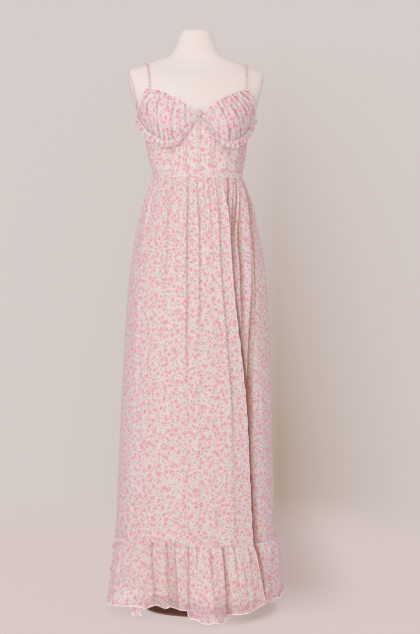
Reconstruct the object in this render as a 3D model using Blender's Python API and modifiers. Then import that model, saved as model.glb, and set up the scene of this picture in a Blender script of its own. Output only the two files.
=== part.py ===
"""Chiffon maxi dress on a limbless dress form.

Metres, +Z up. The front of the dress faces -Y and the wearer's left is +X.
The origin is the middle of the base plate's underside, on the floor.
An angle round the figure is 0 at the front and grows towards the wearer's left.
"""
import bisect
import math
from collections import namedtuple

import bmesh
import bpy
from mathutils import Vector

# Driving dimensions
CLOTH = 0.0012
SEAM_GAP = 0.0003
LAYER_GAP = 0.0004
WAISTBAND_TOP = 1.1810
WAISTBAND_BOTTOM = 1.1640
FLOUNCE_SEAM = 0.1900
LINING_HEM = 0.0600
NECKLINE_CORNER = 61.5
CUP_END = 84.0
SIDE_SEAM = -92.0
SHIRRED_FROM = 57.0
BASE_RADIUS = 0.145
BASE_HEIGHT = 0.010
POLE_RADIUS = 0.0125
TORSO_BOTTOM = 0.850
POLE_EDGE = 0.0005
BASE_EDGE = 0.002
STRAP_RADIUS = 0.0026
WAISTBAND_THICKNESS = 0.0016
WAISTBAND_SWELL = 0.0006
LINING_THICKNESS = 0.0010

# Horizontal sections of the torso: half width, depth to the front, depth to the back
Torso = namedtuple("Torso", "z half front back")
TORSO_SECTIONS = [
    Torso(0.850, 0.146, 0.098, 0.108),
    Torso(0.862, 0.151, 0.103, 0.114),
    Torso(0.950, 0.153, 0.108, 0.118),
    Torso(1.040, 0.142, 0.105, 0.106),
    Torso(1.110, 0.121, 0.098, 0.088),
    Torso(1.150, 0.1105, 0.091, 0.078),
    Torso(1.181, 0.1135, 0.093, 0.079),
    Torso(1.220, 0.1260, 0.099, 0.085),
    Torso(1.260, 0.1335, 0.106, 0.091),
    Torso(1.300, 0.1420, 0.111, 0.098),
    Torso(1.330, 0.1545, 0.113, 0.103),
    Torso(1.352, 0.1660, 0.112, 0.105),
    Torso(1.375, 0.1820, 0.107, 0.107),
    Torso(1.395, 0.1920, 0.100, 0.108),
    Torso(1.417, 0.2000, 0.089, 0.107),
    Torso(1.439, 0.2040, 0.075, 0.103),
    Torso(1.452, 0.2000, 0.064, 0.098),
    Torso(1.462, 0.1820, 0.056, 0.092),
    Torso(1.471, 0.1580, 0.050, 0.086),
    Torso(1.479, 0.1370, 0.045, 0.082),
    Torso(1.487, 0.1120, 0.041, 0.078),
    Torso(1.503, 0.0740, 0.038, 0.073),
    Torso(1.527, 0.0570, 0.036, 0.070),
    Torso(1.549, 0.0490, 0.031, 0.065),
    Torso(1.564, 0.0435, 0.028, 0.060),
    Torso(1.572, 0.0370, 0.022, 0.053),
    Torso(1.575, 0.0270, 0.012, 0.043),
]
TORSO_POWER = 2.2
BUST_ANGLE = 38.0
BUST_HEIGHT = 1.292
BUST_RISE = 0.012
BUST_SPREAD = 20.0
BUST_TALL = 0.045
ARM_PLANE_X = 0.1805
ARM_PLANE_Z = 1.439
ARM_PLANE_SLOPE = 0.253
TORSO_COLUMNS = 36

# The plate that closes an armhole: half height, half depth, where its middle is
PLATE_THICKNESS = 0.004
PLATE_HALF_TALL = 0.048
PLATE_HALF_DEEP = 0.040
PLATE_Y = 0.003
PLATE_Z = 1.402

# How far the bodice lies off the torso on each side
Ease = namedtuple("Ease", "z left right front back")
EASE = [
    Ease(1.164, 0.0045, 0.0150, 0.0070, 0.0065),
    Ease(1.181, 0.0040, 0.0145, 0.0060, 0.0060),
    Ease(1.200, 0.0030, 0.0115, 0.0035, 0.0045),
    Ease(1.220, 0.0030, 0.0085, 0.0030, 0.0035),
    Ease(1.245, 0.0030, 0.0075, 0.0030, 0.0030),
    Ease(1.300, 0.0030, 0.0030, 0.0030, 0.0030),
    Ease(1.420, 0.0030, 0.0030, 0.0030, 0.0030),
]

# Cup outline, by angle: the neckline above and the seam below
Cup = namedtuple("Cup", "angle neckline seam")
CUP_EDGES = [
    Cup(0.0, 1.3290, 1.3210),
    Cup(3.5, 1.3310, 1.3165),
    Cup(13.5, 1.3470, 1.2970),
    Cup(23.0, 1.3620, 1.2730),
    Cup(29.0, 1.3700, 1.2620),
    Cup(36.0, 1.3790, 1.2585),
    Cup(41.0, 1.3840, 1.2580),
    Cup(47.0, 1.3900, 1.2620),
    Cup(53.0, 1.3950, 1.2700),
    Cup(59.0, 1.3995, 1.2770),
    Cup(61.5, 1.3985, 1.2800),
    Cup(65.0, 1.3740, 1.2850),
    Cup(69.5, 1.3600, 1.2925),
    Cup(75.0, 1.3490, 1.3050),
    Cup(80.0, 1.3440, 1.3200),
    Cup(84.0, 1.3420, 1.3360),
]
BACK_EDGE = [(84.0, 1.3345), (88.0, 1.3370), (110.0, 1.3330), (145.0, 1.3290), (180.0, 1.3270)]

# Outer sections of the skirt and flounce, and of the lining inside them
Section = namedtuple("Section", "z left right front back")
SKIRT_SECTIONS = [
    Section(0.005, 0.247, 0.251, 0.196, 0.226),
    Section(0.080, 0.238, 0.240, 0.188, 0.216),
    Section(0.124, 0.233, 0.236, 0.183, 0.208),
    Section(0.170, 0.226, 0.226, 0.176, 0.198),
    Section(0.195, 0.221, 0.217, 0.170, 0.192),
    Section(0.278, 0.216, 0.214, 0.167, 0.186),
    Section(0.398, 0.211, 0.210, 0.164, 0.178),
    Section(0.563, 0.203, 0.208, 0.160, 0.166),
    Section(0.716, 0.195, 0.202, 0.155, 0.157),
    Section(0.848, 0.187, 0.196, 0.149, 0.149),
    Section(0.957, 0.174, 0.184, 0.143, 0.141),
    Section(1.045, 0.160, 0.166, 0.133, 0.126),
    Section(1.089, 0.149, 0.156, 0.124, 0.115),
    Section(1.132, 0.134, 0.142, 0.112, 0.100),
    Section(1.164, 0.119, 0.130, 0.101, 0.0875),
]
LINING_SECTIONS = [
    Section(0.060, 0.208, 0.206, 0.160, 0.182),
    Section(0.278, 0.200, 0.198, 0.152, 0.172),
    Section(0.563, 0.188, 0.193, 0.146, 0.152),
    Section(0.848, 0.171, 0.181, 0.134, 0.134),
    Section(0.957, 0.160, 0.170, 0.129, 0.127),
    Section(1.045, 0.149, 0.154, 0.121, 0.115),
    Section(1.089, 0.138, 0.145, 0.114, 0.104),
    Section(1.132, 0.125, 0.132, 0.103, 0.091),
    Section(1.164, 0.1145, 0.1215, 0.0960, 0.0820),
]
SKIRT_POWER = 2.15
LINING_TOP = 1.1634
LINING_COLUMNS = 40
LINING_RINGS = [LINING_HEM, 0.300, 0.560, 0.820, 0.960, 1.050, 1.110, LINING_TOP]
SKIRT_RINGS = [FLOUNCE_SEAM, 0.330, 0.520, 0.720, 0.900, 1.020, 1.105, 1.1637]

# Courses of the gathers down the skirt, as angles at four heights
COURSE_HEIGHTS = [0.190, 0.520, 0.980, 1.164]
Course = namedtuple("Course", "gather seam knee hip waist")
FRONT_COURSES = [
    Course(0, -92.0, -92.0, -92.0, -92.0),
    Course(6, -33.0, -33.0, -34.6, -39.0),
    Course(9, -13.0, -13.0, -14.0, -15.4),
    Course(11, -1.0, -1.0, -0.6, -3.4),
    Course(13, 13.0, 13.0, 12.6, 13.1),
    Course(14, 31.0, 29.0, 20.9, 23.0),
    Course(16, 44.5, 41.5, 30.8, 33.5),
]
BACK_COURSES = [
    Course(0, 38.8, 35.8, 25.1, 33.8),
    Course(2, 42.5, 39.5, 36.0, 50.0),
    Course(3, 46.0, 43.5, 42.8, 59.0),
    Course(4, 52.0, 46.5, 54.6, 67.0),
    Course(6, 74.0, 74.0, 74.0, 82.0),
    Course(24, 267.8, 267.8, 267.75, 267.65),
]

# The folds that run on below the gathers: how deep, and down to what height
Fold = namedtuple("Fold", "gather depth reach")
FRONT_FOLDS = [
    Fold(3, 0.0050, 0.55), Fold(6, 0.0070, 0.90), Fold(9, 0.0080, 0.62),
    Fold(11, 0.0080, 0.74), Fold(13, 0.0050, 1.02), Fold(14, 0.0090, 0.45),
]
BACK_FOLDS = [
    Fold(3, 0.0080, 0.80), Fold(4, 0.0080, 0.50), Fold(6, 0.0050, 0.60),
    Fold(9, 0.0060, 0.40), Fold(12, 0.0080, 0.55), Fold(14, 0.0070, 0.35),
    Fold(17, 0.0080, 0.50), Fold(20, 0.0060, 0.45), Fold(22, 0.0050, 0.60),
]
GATHER_PROFILE = [0.0, 1.0, 0.45]
GATHER_DEPTH = 0.0026
GATHER_FADE = 0.16
LAP_LIFT = 0.0030
LAP_SINK = 0.0080
LAP_GATHERS = 3
LAP_FADE = 0.07
SINK_GATHERS = 4
SEAM_CALM = -0.1

# Near the waist the two panels meet edge to edge with this gap, in degrees
EDGE_MEETS_ABOVE = 1.08
EDGE_GAP = 0.6

# The flounce: its free edge at the slit, its hem and its largest waves
FLOUNCE_FRONT_EDGE = [(0.01, 52.0), (0.08, 49.0), (0.13, 47.0), (0.19, 44.5)]
FLOUNCE_LAP = 5.7
FLOUNCE_LIFT = 0.0010
FLOUNCE_EVEN_HEIGHT = 0.02
FLOUNCE_CALM = 0.45
WAVE_GROWTH = 1.3
FRONT_FLOUNCE_GATHERS = 18
BACK_FLOUNCE_GATHERS = 28
FLOUNCE_GATHER_DEPTH = 0.0034
FLOUNCE_ROWS = [0.0, 0.42, 0.78, 1.0]
Hem = namedtuple("Hem", "angle z")
HEM = [
    Hem(-92, 0.018), Hem(-81, 0.017), Hem(-64, 0.027), Hem(-50, 0.033), Hem(-40, 0.035),
    Hem(-28, 0.032), Hem(-13, 0.029), Hem(-6, 0.018), Hem(3, 0.010), Hem(12, 0.008),
    Hem(18, 0.018), Hem(27, 0.023), Hem(38, 0.027), Hem(52, 0.029), Hem(70, 0.021),
    Hem(90, 0.023), Hem(105, 0.026), Hem(130, 0.016), Hem(160, 0.022), Hem(190, 0.014),
    Hem(220, 0.022), Hem(245, 0.016), Hem(268, 0.018),
]
Wave = namedtuple("Wave", "angle width swing")
HEM_WAVES = [
    Wave(-62, 8, 0.006), Wave(-42, 14, -0.024), Wave(-22, 8, -0.026), Wave(-32, 5, 0.006),
    Wave(3, 7, 0.024), Wave(13, 6, 0.034), Wave(31, 8, 0.012), Wave(46, 8, -0.008),
    Wave(100, 9, 0.006), Wave(118, 9, -0.012), Wave(137, 8, 0.016), Wave(158, 8, -0.012),
    Wave(178, 9, 0.018), Wave(199, 8, -0.014), Wave(219, 8, 0.014), Wave(240, 8, -0.012),
]
BACK_FLOUNCE_LAP = Wave(58, 16, -0.040)

# Trims on the bodice
CUP_GATHERS = 11
CUP_GATHERS_TO_CORNER = 8
CUP_GATHER_DEPTH = 0.0019
CUP_PUFF = 0.0026
CUP_LIFT = 0.0010
CUP_SPANS = 6
CUP_SEAM_GAP = 0.0010
CUP_START = 0.012
CUP_LEANS = {"cup_left": 0.45, "cup_right": 0.10}
RUFFLE_FROM = 4.0
RUFFLE_TO = 83.0
RUFFLE_WAVES = 13
RUFFLE_COLUMNS_PER_WAVE = 4
RUFFLE_WIDTH = 0.0180
RUFFLE_WAVE_DEPTH = 0.0028
RUFFLE_THICKNESS = 0.0010
RUFFLE_STAND = 0.0070
RUFFLE_SIDE_STAND = 0.0050
RUFFLE_MIDDLE = 0.65
RUFFLE_ARCH = 0.0012

# The way the ruffle hangs along its length, in degrees from straight down
RUFFLE_SWING = [(0.0, 8), (0.35, 0), (0.6, 12), (0.85, 48), (1.0, 70)]
TUFT_SIZE = (0.0072, 0.0045, 0.0098)
TUFT_PINCH = 0.18
TUFT_HEIGHT = 1.3285
TUFT_LIFT = 0.0058
SHIRR_GATHERS = 16
SHIRR_DEPTH = 0.0010
CHANNEL_WIDTH = 0.009
CHANNEL_THICKNESS = 0.0009
CHANNEL_PLACES = {
    "channel_centre": 0.0,
    "channel_inner_left": 0.038,
    "channel_inner_right": -0.038,
    "channel_outer_left": 0.073,
    "channel_outer_right": -0.073,
}
COLUMNS_PER_GATHER = 3
StrapEnd = namedtuple("StrapEnd", "x z")
STRAP_FRONT = StrapEnd(0.1290, 1.4030)
STRAP_RIDGE = StrapEnd(0.1370, 1.4790)
STRAP_BACK = StrapEnd(0.0760, 1.3320)
STRAP_STEPS = 9
MIDRIFF_SPANS = 4
MIDRIFF_COLUMNS = 50
MIDRIFF_REACH = 0.112
CHANNEL_ROWS = (0, 1, 2, 3, 3.65)
SHIRR_EDGE_GAP = 0.3
SIDE_EDGE_GAP = 0.2


def through(points, value):
    """Smooth curve through (key, number) points, flat beyond the two ends."""
    keys = [key for key, _ in points]
    if value <= keys[0]:
        return points[0][1]
    if value >= keys[-1]:
        return points[-1][1]
    index = bisect.bisect_right(keys, value) - 1
    (x0, y0), (x1, y1) = points[index], points[index + 1]
    span = x1 - x0
    slope = (y1 - y0) / span
    before = after = slope
    if index > 0:
        xa, ya = points[index - 1]
        before = limited_slope((y0 - ya) / (x0 - xa), slope)
    if index + 2 < len(points):
        xb, yb = points[index + 2]
        after = limited_slope(slope, (yb - y1) / (xb - x1))
    t = (value - x0) / span
    return (
        (1 + 2 * t) * (1 - t) ** 2 * y0
        + t * (1 - t) ** 2 * span * before
        + t * t * (3 - 2 * t) * y1
        + t * t * (t - 1) * span * after
    )


def limited_slope(first, second):
    """Slope at a point between two spans, zero at a turn so that nothing overshoots."""
    if first * second <= 0:
        return 0.0
    return 2 * first * second / (first + second)


def column(rows, name, value, key="z"):
    """One named column of a table, read at a height or angle."""
    return through([(getattr(row, key), getattr(row, name)) for row in rows], value)


def smooth(t):
    """0 to 1 with soft ends."""
    t = min(max(t, 0.0), 1.0)
    return t * t * (3 - 2 * t)


def bell(distance, width):
    """A soft bump that is 1 at its middle."""
    return math.exp(-((distance / width) ** 2))


def oval(angle, left, right, front, back, power):
    """Distance from the axis to an oval with four unlike half axes."""
    across = math.sin(math.radians(angle))
    ahead = math.cos(math.radians(angle))
    side = right if across >= 0 else left
    depth = front if ahead >= 0 else back
    return (abs(across / side) ** power + abs(ahead / depth) ** power) ** (-1 / power)


def polar(angle, radius, z):
    """The point at an angle round the axis, 0 being the front."""
    turn = math.radians(angle)
    return Vector((radius * math.sin(turn), -radius * math.cos(turn), z))


def turned(angle):
    """The same angle between -180 and 180."""
    return (angle + 180.0) % 360.0 - 180.0


# Surfaces that the pieces share
def arm_plane(z):
    """Where the flat armhole lies at a height."""
    return ARM_PLANE_X - ARM_PLANE_SLOPE * (ARM_PLANE_Z - z)


def torso_radius(angle, z):
    """The dress form's surface."""
    half = column(TORSO_SECTIONS, "half", z)
    front = column(TORSO_SECTIONS, "front", z)
    back = column(TORSO_SECTIONS, "back", z)
    radius = oval(angle, half, half, front, back, TORSO_POWER)
    from_bust = (abs(turned(angle)) - BUST_ANGLE) / BUST_SPREAD
    return radius + BUST_RISE * bell(from_bust, 1.0) * bell(z - BUST_HEIGHT, BUST_TALL)


def bodice_radius(angle, z):
    """The bodice's outer surface."""
    across = math.sin(math.radians(angle))
    ahead = math.cos(math.radians(angle))
    side = column(EASE, "right" if across >= 0 else "left", z)
    depth = column(EASE, "front" if ahead >= 0 else "back", z)
    return torso_radius(angle, z) + side * across ** 2 + depth * ahead ** 2


def skirt_radius(angle, z):
    """The skirt's outer surface, before its folds."""
    sides = [column(SKIRT_SECTIONS, name, z) for name in Section._fields[1:]]
    return oval(angle, *sides, SKIRT_POWER)


def lining_radius(angle, z):
    """The lining's outer surface."""
    sides = [column(LINING_SECTIONS, name, z) for name in Section._fields[1:]]
    return oval(angle, *sides, SKIRT_POWER)


def neckline(angle):
    """Height of a cup's upper edge."""
    return column(CUP_EDGES, "neckline", abs(angle), "angle")


def cup_seam(angle):
    """Height of a cup's lower edge."""
    return column(CUP_EDGES, "seam", abs(angle), "angle")


def bodice_top(angle):
    """Upper edge of the midriff and back: the cup seam in front, a free edge behind."""
    place = abs(turned(angle))
    if place <= CUP_END:
        return cup_seam(place) - CUP_SEAM_GAP
    return through(BACK_EDGE, place)


# Making objects
def make_material(name, colour, roughness):
    """A plain material with the piece's colour."""
    material = bpy.data.materials.new(name)
    material.use_nodes = True
    shader = material.node_tree.nodes["Principled BSDF"]
    shader.inputs["Base Color"].default_value = (*colour, 1.0)
    shader.inputs["Roughness"].default_value = roughness
    return material


def add_object(name, mesh, material, collection):
    """Link a new object that shows a mesh in a material."""
    piece = bpy.data.objects.new(name, mesh)
    mesh.materials.append(material)
    collection.objects.link(piece)
    return piece


def cloth_piece(name, rows, closed, material, collection, thickness=CLOTH):
    """A cloth wall through rows of points, lowest row first, thickened inwards."""
    shape = bmesh.new()
    corners = [[shape.verts.new(point) for point in row] for row in rows]
    count = len(rows[0])
    spans = count if closed else count - 1
    for low, high in zip(corners, corners[1:]):
        for place in range(spans):
            after = (place + 1) % count
            shape.faces.new((low[place], low[after], high[after], high[place]))
    mesh = bpy.data.meshes.new(name)
    shape.to_mesh(mesh)
    shape.free()
    mesh.shade_smooth()
    piece = add_object(name, mesh, material, collection)
    wall = piece.modifiers.new("Cloth thickness", "SOLIDIFY")
    wall.thickness = thickness
    wall.offset = -1.0
    return piece


def solid_from_rings(name, rings, material, collection):
    """A closed body through rings of points, lowest first, with flat ends."""
    shape = bmesh.new()
    corners = [[shape.verts.new(point) for point in ring] for ring in rings]
    count = len(rings[0])
    for low, high in zip(corners, corners[1:]):
        for place in range(count):
            after = (place + 1) % count
            shape.faces.new((low[place], low[after], high[after], high[place]))
    shape.faces.new(list(reversed(corners[0])))
    shape.faces.new(corners[-1])
    mesh = bpy.data.meshes.new(name)
    shape.to_mesh(mesh)
    shape.free()
    mesh.shade_smooth()
    return add_object(name, mesh, material, collection)


def round_plate(name, radius, height, bevel, material, collection, segments=48):
    """A disc with softened edges, standing on its own origin."""
    shape = bmesh.new()
    bmesh.ops.create_cone(
        shape, cap_ends=True, segments=segments, radius1=radius, radius2=radius, depth=height
    )
    bmesh.ops.translate(shape, verts=shape.verts, vec=(0, 0, height / 2))
    mesh = bpy.data.meshes.new(name)
    shape.to_mesh(mesh)
    shape.free()
    piece = add_object(name, mesh, material, collection)
    if bevel > 0:
        edge = piece.modifiers.new("Soft edge", "BEVEL")
        edge.width = bevel
        edge.segments = 1
        edge.limit_method = "ANGLE"
    return piece


# The dress form
def make_torso(material, collection):
    """Smooth torso and neck, cut flat at the armholes."""
    rings = []
    for section in TORSO_SECTIONS:
        ring = []
        for place in range(TORSO_COLUMNS):
            angle = 360.0 * place / TORSO_COLUMNS
            point = polar(angle, torso_radius(angle, section.z), section.z)
            limit = arm_plane(section.z)
            point.x = min(max(point.x, -limit), limit)
            ring.append(point)
        rings.append(ring)
    return solid_from_rings("form_torso", rings, material, collection)


def make_arm_plate(name, side, material, collection):
    """Oval plate over a flat armhole."""
    plate = round_plate(name, PLATE_HALF_TALL, PLATE_THICKNESS, 0.0, material, collection, 28)
    for corner in plate.data.vertices:
        corner.co.y *= PLATE_HALF_DEEP / PLATE_HALF_TALL
    plate.location = (side * (arm_plane(PLATE_Z) + SEAM_GAP), PLATE_Y, PLATE_Z)
    plate.rotation_euler = (0, side * (math.pi / 2 + math.atan(ARM_PLANE_SLOPE)), 0)
    return plate


def make_stand(material, collection):
    """Pole and base plate."""
    round_plate("form_base", BASE_RADIUS, BASE_HEIGHT, BASE_EDGE, material, collection)
    foot = BASE_HEIGHT + SEAM_GAP
    length = TORSO_BOTTOM - SEAM_GAP - foot
    pole = round_plate("form_pole", POLE_RADIUS, length, POLE_EDGE, material, collection, 24)
    pole.location = (0, 0, foot)


# The bodice
def cup_angle(share):
    """Angle of a cup column, with one column on the neckline's outer corner."""
    corner = CUP_GATHERS_TO_CORNER / CUP_GATHERS
    if share <= corner:
        return NECKLINE_CORNER * share / corner
    return NECKLINE_CORNER + (CUP_END - NECKLINE_CORNER) * (share - corner) / (1 - corner)


def make_cup(name, side, material, collection):
    """Gathered cup between the neckline and the seam; its gathers lean outwards below."""
    columns = CUP_GATHERS * COLUMNS_PER_GATHER
    lean = CUP_LEANS[name]
    rows = []
    for step in range(CUP_SPANS + 1):
        up = step / CUP_SPANS
        row = []
        for place in range(columns + 1):
            share = CUP_START + (1 - CUP_START) * place / columns
            top = cup_angle(share)
            foot = cup_angle(share + lean * share * (1 - share))
            angle = foot + (top - foot) * up
            z = cup_seam(foot) + (neckline(top) - cup_seam(foot)) * up
            fullness = 4 * up * (1 - up) * smooth(4 * share) * smooth(4 * (1 - share))
            radius = bodice_radius(angle, z) + CUP_LIFT + CUP_PUFF * fullness
            ends = min(place, columns - place, 3) / 3
            radius -= CUP_GATHER_DEPTH * GATHER_PROFILE[place % COLUMNS_PER_GATHER] * ends
            row.append(polar(side * angle, radius, z))
        rows.append(row if side > 0 else row[::-1])
    return cloth_piece(name, rows, False, material, collection)


def make_ruffle(name, side, material, collection):
    """Ruffle that hangs from a cup's seam and stands off at the side."""
    columns = RUFFLE_WAVES * RUFFLE_COLUMNS_PER_WAVE
    roots, edges = [], []
    for place in range(columns + 1):
        share = place / columns
        angle = RUFFLE_FROM + (RUFFLE_TO - RUFFLE_FROM) * share
        z = cup_seam(angle)
        width = RUFFLE_WIDTH * smooth(0.3 + 6 * share)
        swing = math.radians(through(RUFFLE_SWING, share))
        radius = bodice_radius(angle, z) + CUP_LIFT
        drop = width * math.cos(swing)
        slide = math.degrees(width * math.sin(swing) / radius)
        wave = RUFFLE_WAVE_DEPTH * math.sin(2 * math.pi * place / RUFFLE_COLUMNS_PER_WAVE)
        stand = RUFFLE_STAND + RUFFLE_SIDE_STAND * smooth((share - 0.6) / 0.4)
        root = radius + LAYER_GAP + RUFFLE_THICKNESS
        edge_angle = angle + slide
        edge = max(bodice_radius(edge_angle, z - drop), radius - 0.004) + stand + wave
        roots.append(polar(side * angle, root, z))
        edges.append(polar(side * edge_angle, edge, z - drop))
    middles = [low.lerp(high, RUFFLE_MIDDLE) for low, high in zip(edges, roots)]
    for middle in middles:
        middle += Vector((middle.x, middle.y, 0)).normalized() * RUFFLE_ARCH
    rows = [edges, middles, roots]
    if side < 0:
        rows = [row[::-1] for row in rows]
    return cloth_piece(name, rows, False, material, collection, RUFFLE_THICKNESS)


def make_tuft(material, collection):
    """Small gathered knot at the point of the neckline."""
    shape = bmesh.new()
    bmesh.ops.create_uvsphere(shape, u_segments=12, v_segments=7, radius=1.0)
    for corner in shape.verts:
        pinch = 1.0 - TUFT_PINCH * math.cos(3 * math.atan2(corner.co.z, corner.co.x))
        corner.co.x *= TUFT_SIZE[0] * pinch
        corner.co.y *= TUFT_SIZE[1]
        corner.co.z *= TUFT_SIZE[2] * pinch
    mesh = bpy.data.meshes.new("ruffle_tuft")
    shape.to_mesh(mesh)
    shape.free()
    mesh.shade_smooth()
    tuft = add_object("ruffle_tuft", mesh, material, collection)
    tuft.location = polar(0, bodice_radius(0, TUFT_HEIGHT) + TUFT_LIFT, TUFT_HEIGHT)
    return tuft


def midriff_point(angle, up, lift=0.0):
    """A point of the midriff's or back's rows, counted up from the waistband."""
    low = WAISTBAND_TOP + SEAM_GAP
    rise = (bodice_top(angle) - low) / MIDRIFF_SPANS
    below = low + rise * math.floor(up)
    point = polar(angle, bodice_radius(angle, below) + lift, below)
    if up == math.floor(up):
        return point
    above = polar(angle, bodice_radius(angle, below + rise) + lift, below + rise)
    return point.lerp(above, up - math.floor(up))


def make_midriff(material, collection):
    """Smooth front midriff between the cup seams and the waistband."""
    turn = (SHIRRED_FROM - SIDE_SEAM) / MIDRIFF_COLUMNS
    angles = [SIDE_SEAM + turn * place for place in range(MIDRIFF_COLUMNS + 1)]
    rows = [[midriff_point(angle, up) for angle in angles] for up in range(MIDRIFF_SPANS + 1)]
    return cloth_piece("midriff_front", rows, False, material, collection)


def make_back_bodice(material, collection):
    """Shirred side and back, with gathers from top to waist."""
    columns = SHIRR_GATHERS * COLUMNS_PER_GATHER
    first = SHIRRED_FROM + SHIRR_EDGE_GAP
    last = SIDE_SEAM + 360.0 - SHIRR_EDGE_GAP
    rows = []
    for up in range(MIDRIFF_SPANS + 1):
        row = []
        for place in range(columns + 1):
            angle = first + (last - first) * place / columns
            dip = SHIRR_DEPTH * GATHER_PROFILE[place % COLUMNS_PER_GATHER]
            row.append(midriff_point(angle, up, -dip))
        rows.append(row)
    return cloth_piece("back_bodice", rows, False, material, collection)


def make_channel(name, across, material, collection):
    """Stitched boning channel that lies on the midriff, from the waistband to under the ruffle."""
    middle = math.degrees(math.asin(across / MIDRIFF_REACH))
    half_turn = math.degrees(CHANNEL_WIDTH / 2 / MIDRIFF_REACH)
    lift = LAYER_GAP + CHANNEL_THICKNESS
    rows = []
    for up in CHANNEL_ROWS:
        rows.append([midriff_point(middle + edge * half_turn, up, lift) for edge in (-1, 0, 1)])
    return cloth_piece(name, rows, False, material, collection, CHANNEL_THICKNESS)


def make_waistband(material, collection):
    """Narrow band all round between the bodice and the skirt."""
    columns = 72
    middle = (WAISTBAND_TOP + WAISTBAND_BOTTOM) / 2
    rows = []
    for z in (WAISTBAND_BOTTOM, middle, WAISTBAND_TOP):
        swell = WAISTBAND_SWELL if z == middle else 0.0
        angles = [360.0 * place / columns for place in range(columns)]
        rows.append([polar(angle, bodice_radius(angle, middle) + swell, z) for angle in angles])
    return cloth_piece("waistband", rows, True, material, collection, WAISTBAND_THICKNESS)


def torso_face(x, z, side):
    """Front (-1) or back (+1) of the torso at a width and height."""
    half = column(TORSO_SECTIONS, "half", z)
    depth = column(TORSO_SECTIONS, "front" if side < 0 else "back", z)
    inside = max(1 - (abs(x) / half) ** TORSO_POWER, 0.0)
    return side * depth * inside ** (1 / TORSO_POWER)


def make_strap(name, side, material, collection):
    """Spaghetti strap from a cup's corner over the shoulder to the back edge."""
    lift = STRAP_RADIUS + 2 * SEAM_GAP
    path = []
    for step in range(STRAP_STEPS):
        t = step / STRAP_STEPS
        z = STRAP_RIDGE.z - (STRAP_RIDGE.z - STRAP_FRONT.z) * (1 - t) ** 2
        x = STRAP_FRONT.x + (STRAP_RIDGE.x - STRAP_FRONT.x) * t
        path.append(strap_point(x, z, -1, lift))
    path.append(Vector((STRAP_RIDGE.x, 0.0, STRAP_RIDGE.z + lift)))
    for step in range(1, STRAP_STEPS + 1):
        t = step / STRAP_STEPS
        z = STRAP_RIDGE.z - (STRAP_RIDGE.z - STRAP_BACK.z) * t ** 2
        x = STRAP_RIDGE.x + (STRAP_BACK.x - STRAP_RIDGE.x) * smooth(t)
        path.append(strap_point(x, z, 1, lift))
    curve = bpy.data.curves.new(name, "CURVE")
    curve.dimensions = "3D"
    curve.bevel_depth = STRAP_RADIUS
    curve.bevel_resolution = 2
    curve.use_fill_caps = True
    spline = curve.splines.new("POLY")
    spline.points.add(len(path) - 1)
    for point, place in zip(spline.points, path):
        point.co = (side * place.x, place.y, place.z, 1.0)
    curve.materials.append(material)
    strap = bpy.data.objects.new(name, curve)
    collection.objects.link(strap)
    return strap


def strap_point(x, z, side, lift):
    """A point lifted off the torso at right angles to its surface."""
    step = 0.002
    here = Vector((x, torso_face(x, z, side), z))
    along = Vector((x + step, torso_face(x + step, z, side), z)) - here
    down = here - Vector((x, torso_face(x, z - step, side), z - step))
    away = along.cross(down) if side < 0 else down.cross(along)
    return here + away.normalized() * lift


# The skirt
def course_angle(courses, gather, z):
    """Angle of a gather line at a height, read between the courses beside it."""
    marks = []
    for row in courses:
        angles = list(zip(COURSE_HEIGHTS, (row.seam, row.knee, row.hip, row.waist)))
        marks.append((row.gather, through(angles, z)))
    for (g0, a0), (g1, a1) in zip(marks, marks[1:]):
        if gather <= g1:
            return a0 + (a1 - a0) * (gather - g0) / (g1 - g0)
    return marks[-1][1]


def fold_depth(folds, gather, z):
    """How deep a gather's trough is at a height."""
    below_waist = WAISTBAND_BOTTOM - z
    depth = GATHER_DEPTH * (1 - 0.75 * smooth(below_waist / GATHER_FADE))
    for fold in folds:
        if fold.gather == gather:
            depth += fold.depth * smooth(below_waist / 0.12) * smooth((z - fold.reach) / 0.25 + 0.5)
    return depth


def lap_share(z):
    """How far the front skirt has lifted over the back one, 0 at the waist."""
    return smooth((WAISTBAND_BOTTOM - z) / LAP_FADE)


def make_skirt_front(material, collection):
    """Front skirt; its edge on the wearer's left laps over the back skirt."""
    last_gather = FRONT_COURSES[-1].gather
    rows = []
    for z in SKIRT_RINGS:
        row = []
        for place in range(last_gather * COLUMNS_PER_GATHER + 1):
            gather = place / COLUMNS_PER_GATHER
            angle = course_angle(FRONT_COURSES, gather, z)
            trough = GATHER_PROFILE[place % COLUMNS_PER_GATHER]
            lift = LAP_LIFT * lap_share(z) * smooth(1 - (last_gather - gather) / LAP_GATHERS)
            radius = skirt_radius(angle, z) + lift
            seam_calm = smooth(min(gather, last_gather - gather) + SEAM_CALM)
            radius -= trough * seam_calm * fold_depth(FRONT_FOLDS, place // COLUMNS_PER_GATHER, z)
            height = z + SEAM_GAP if z == FLOUNCE_SEAM else z
            row.append(polar(angle, radius, height))
        rows.append(row)
    return cloth_piece("skirt_front", rows, False, material, collection)


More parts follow.
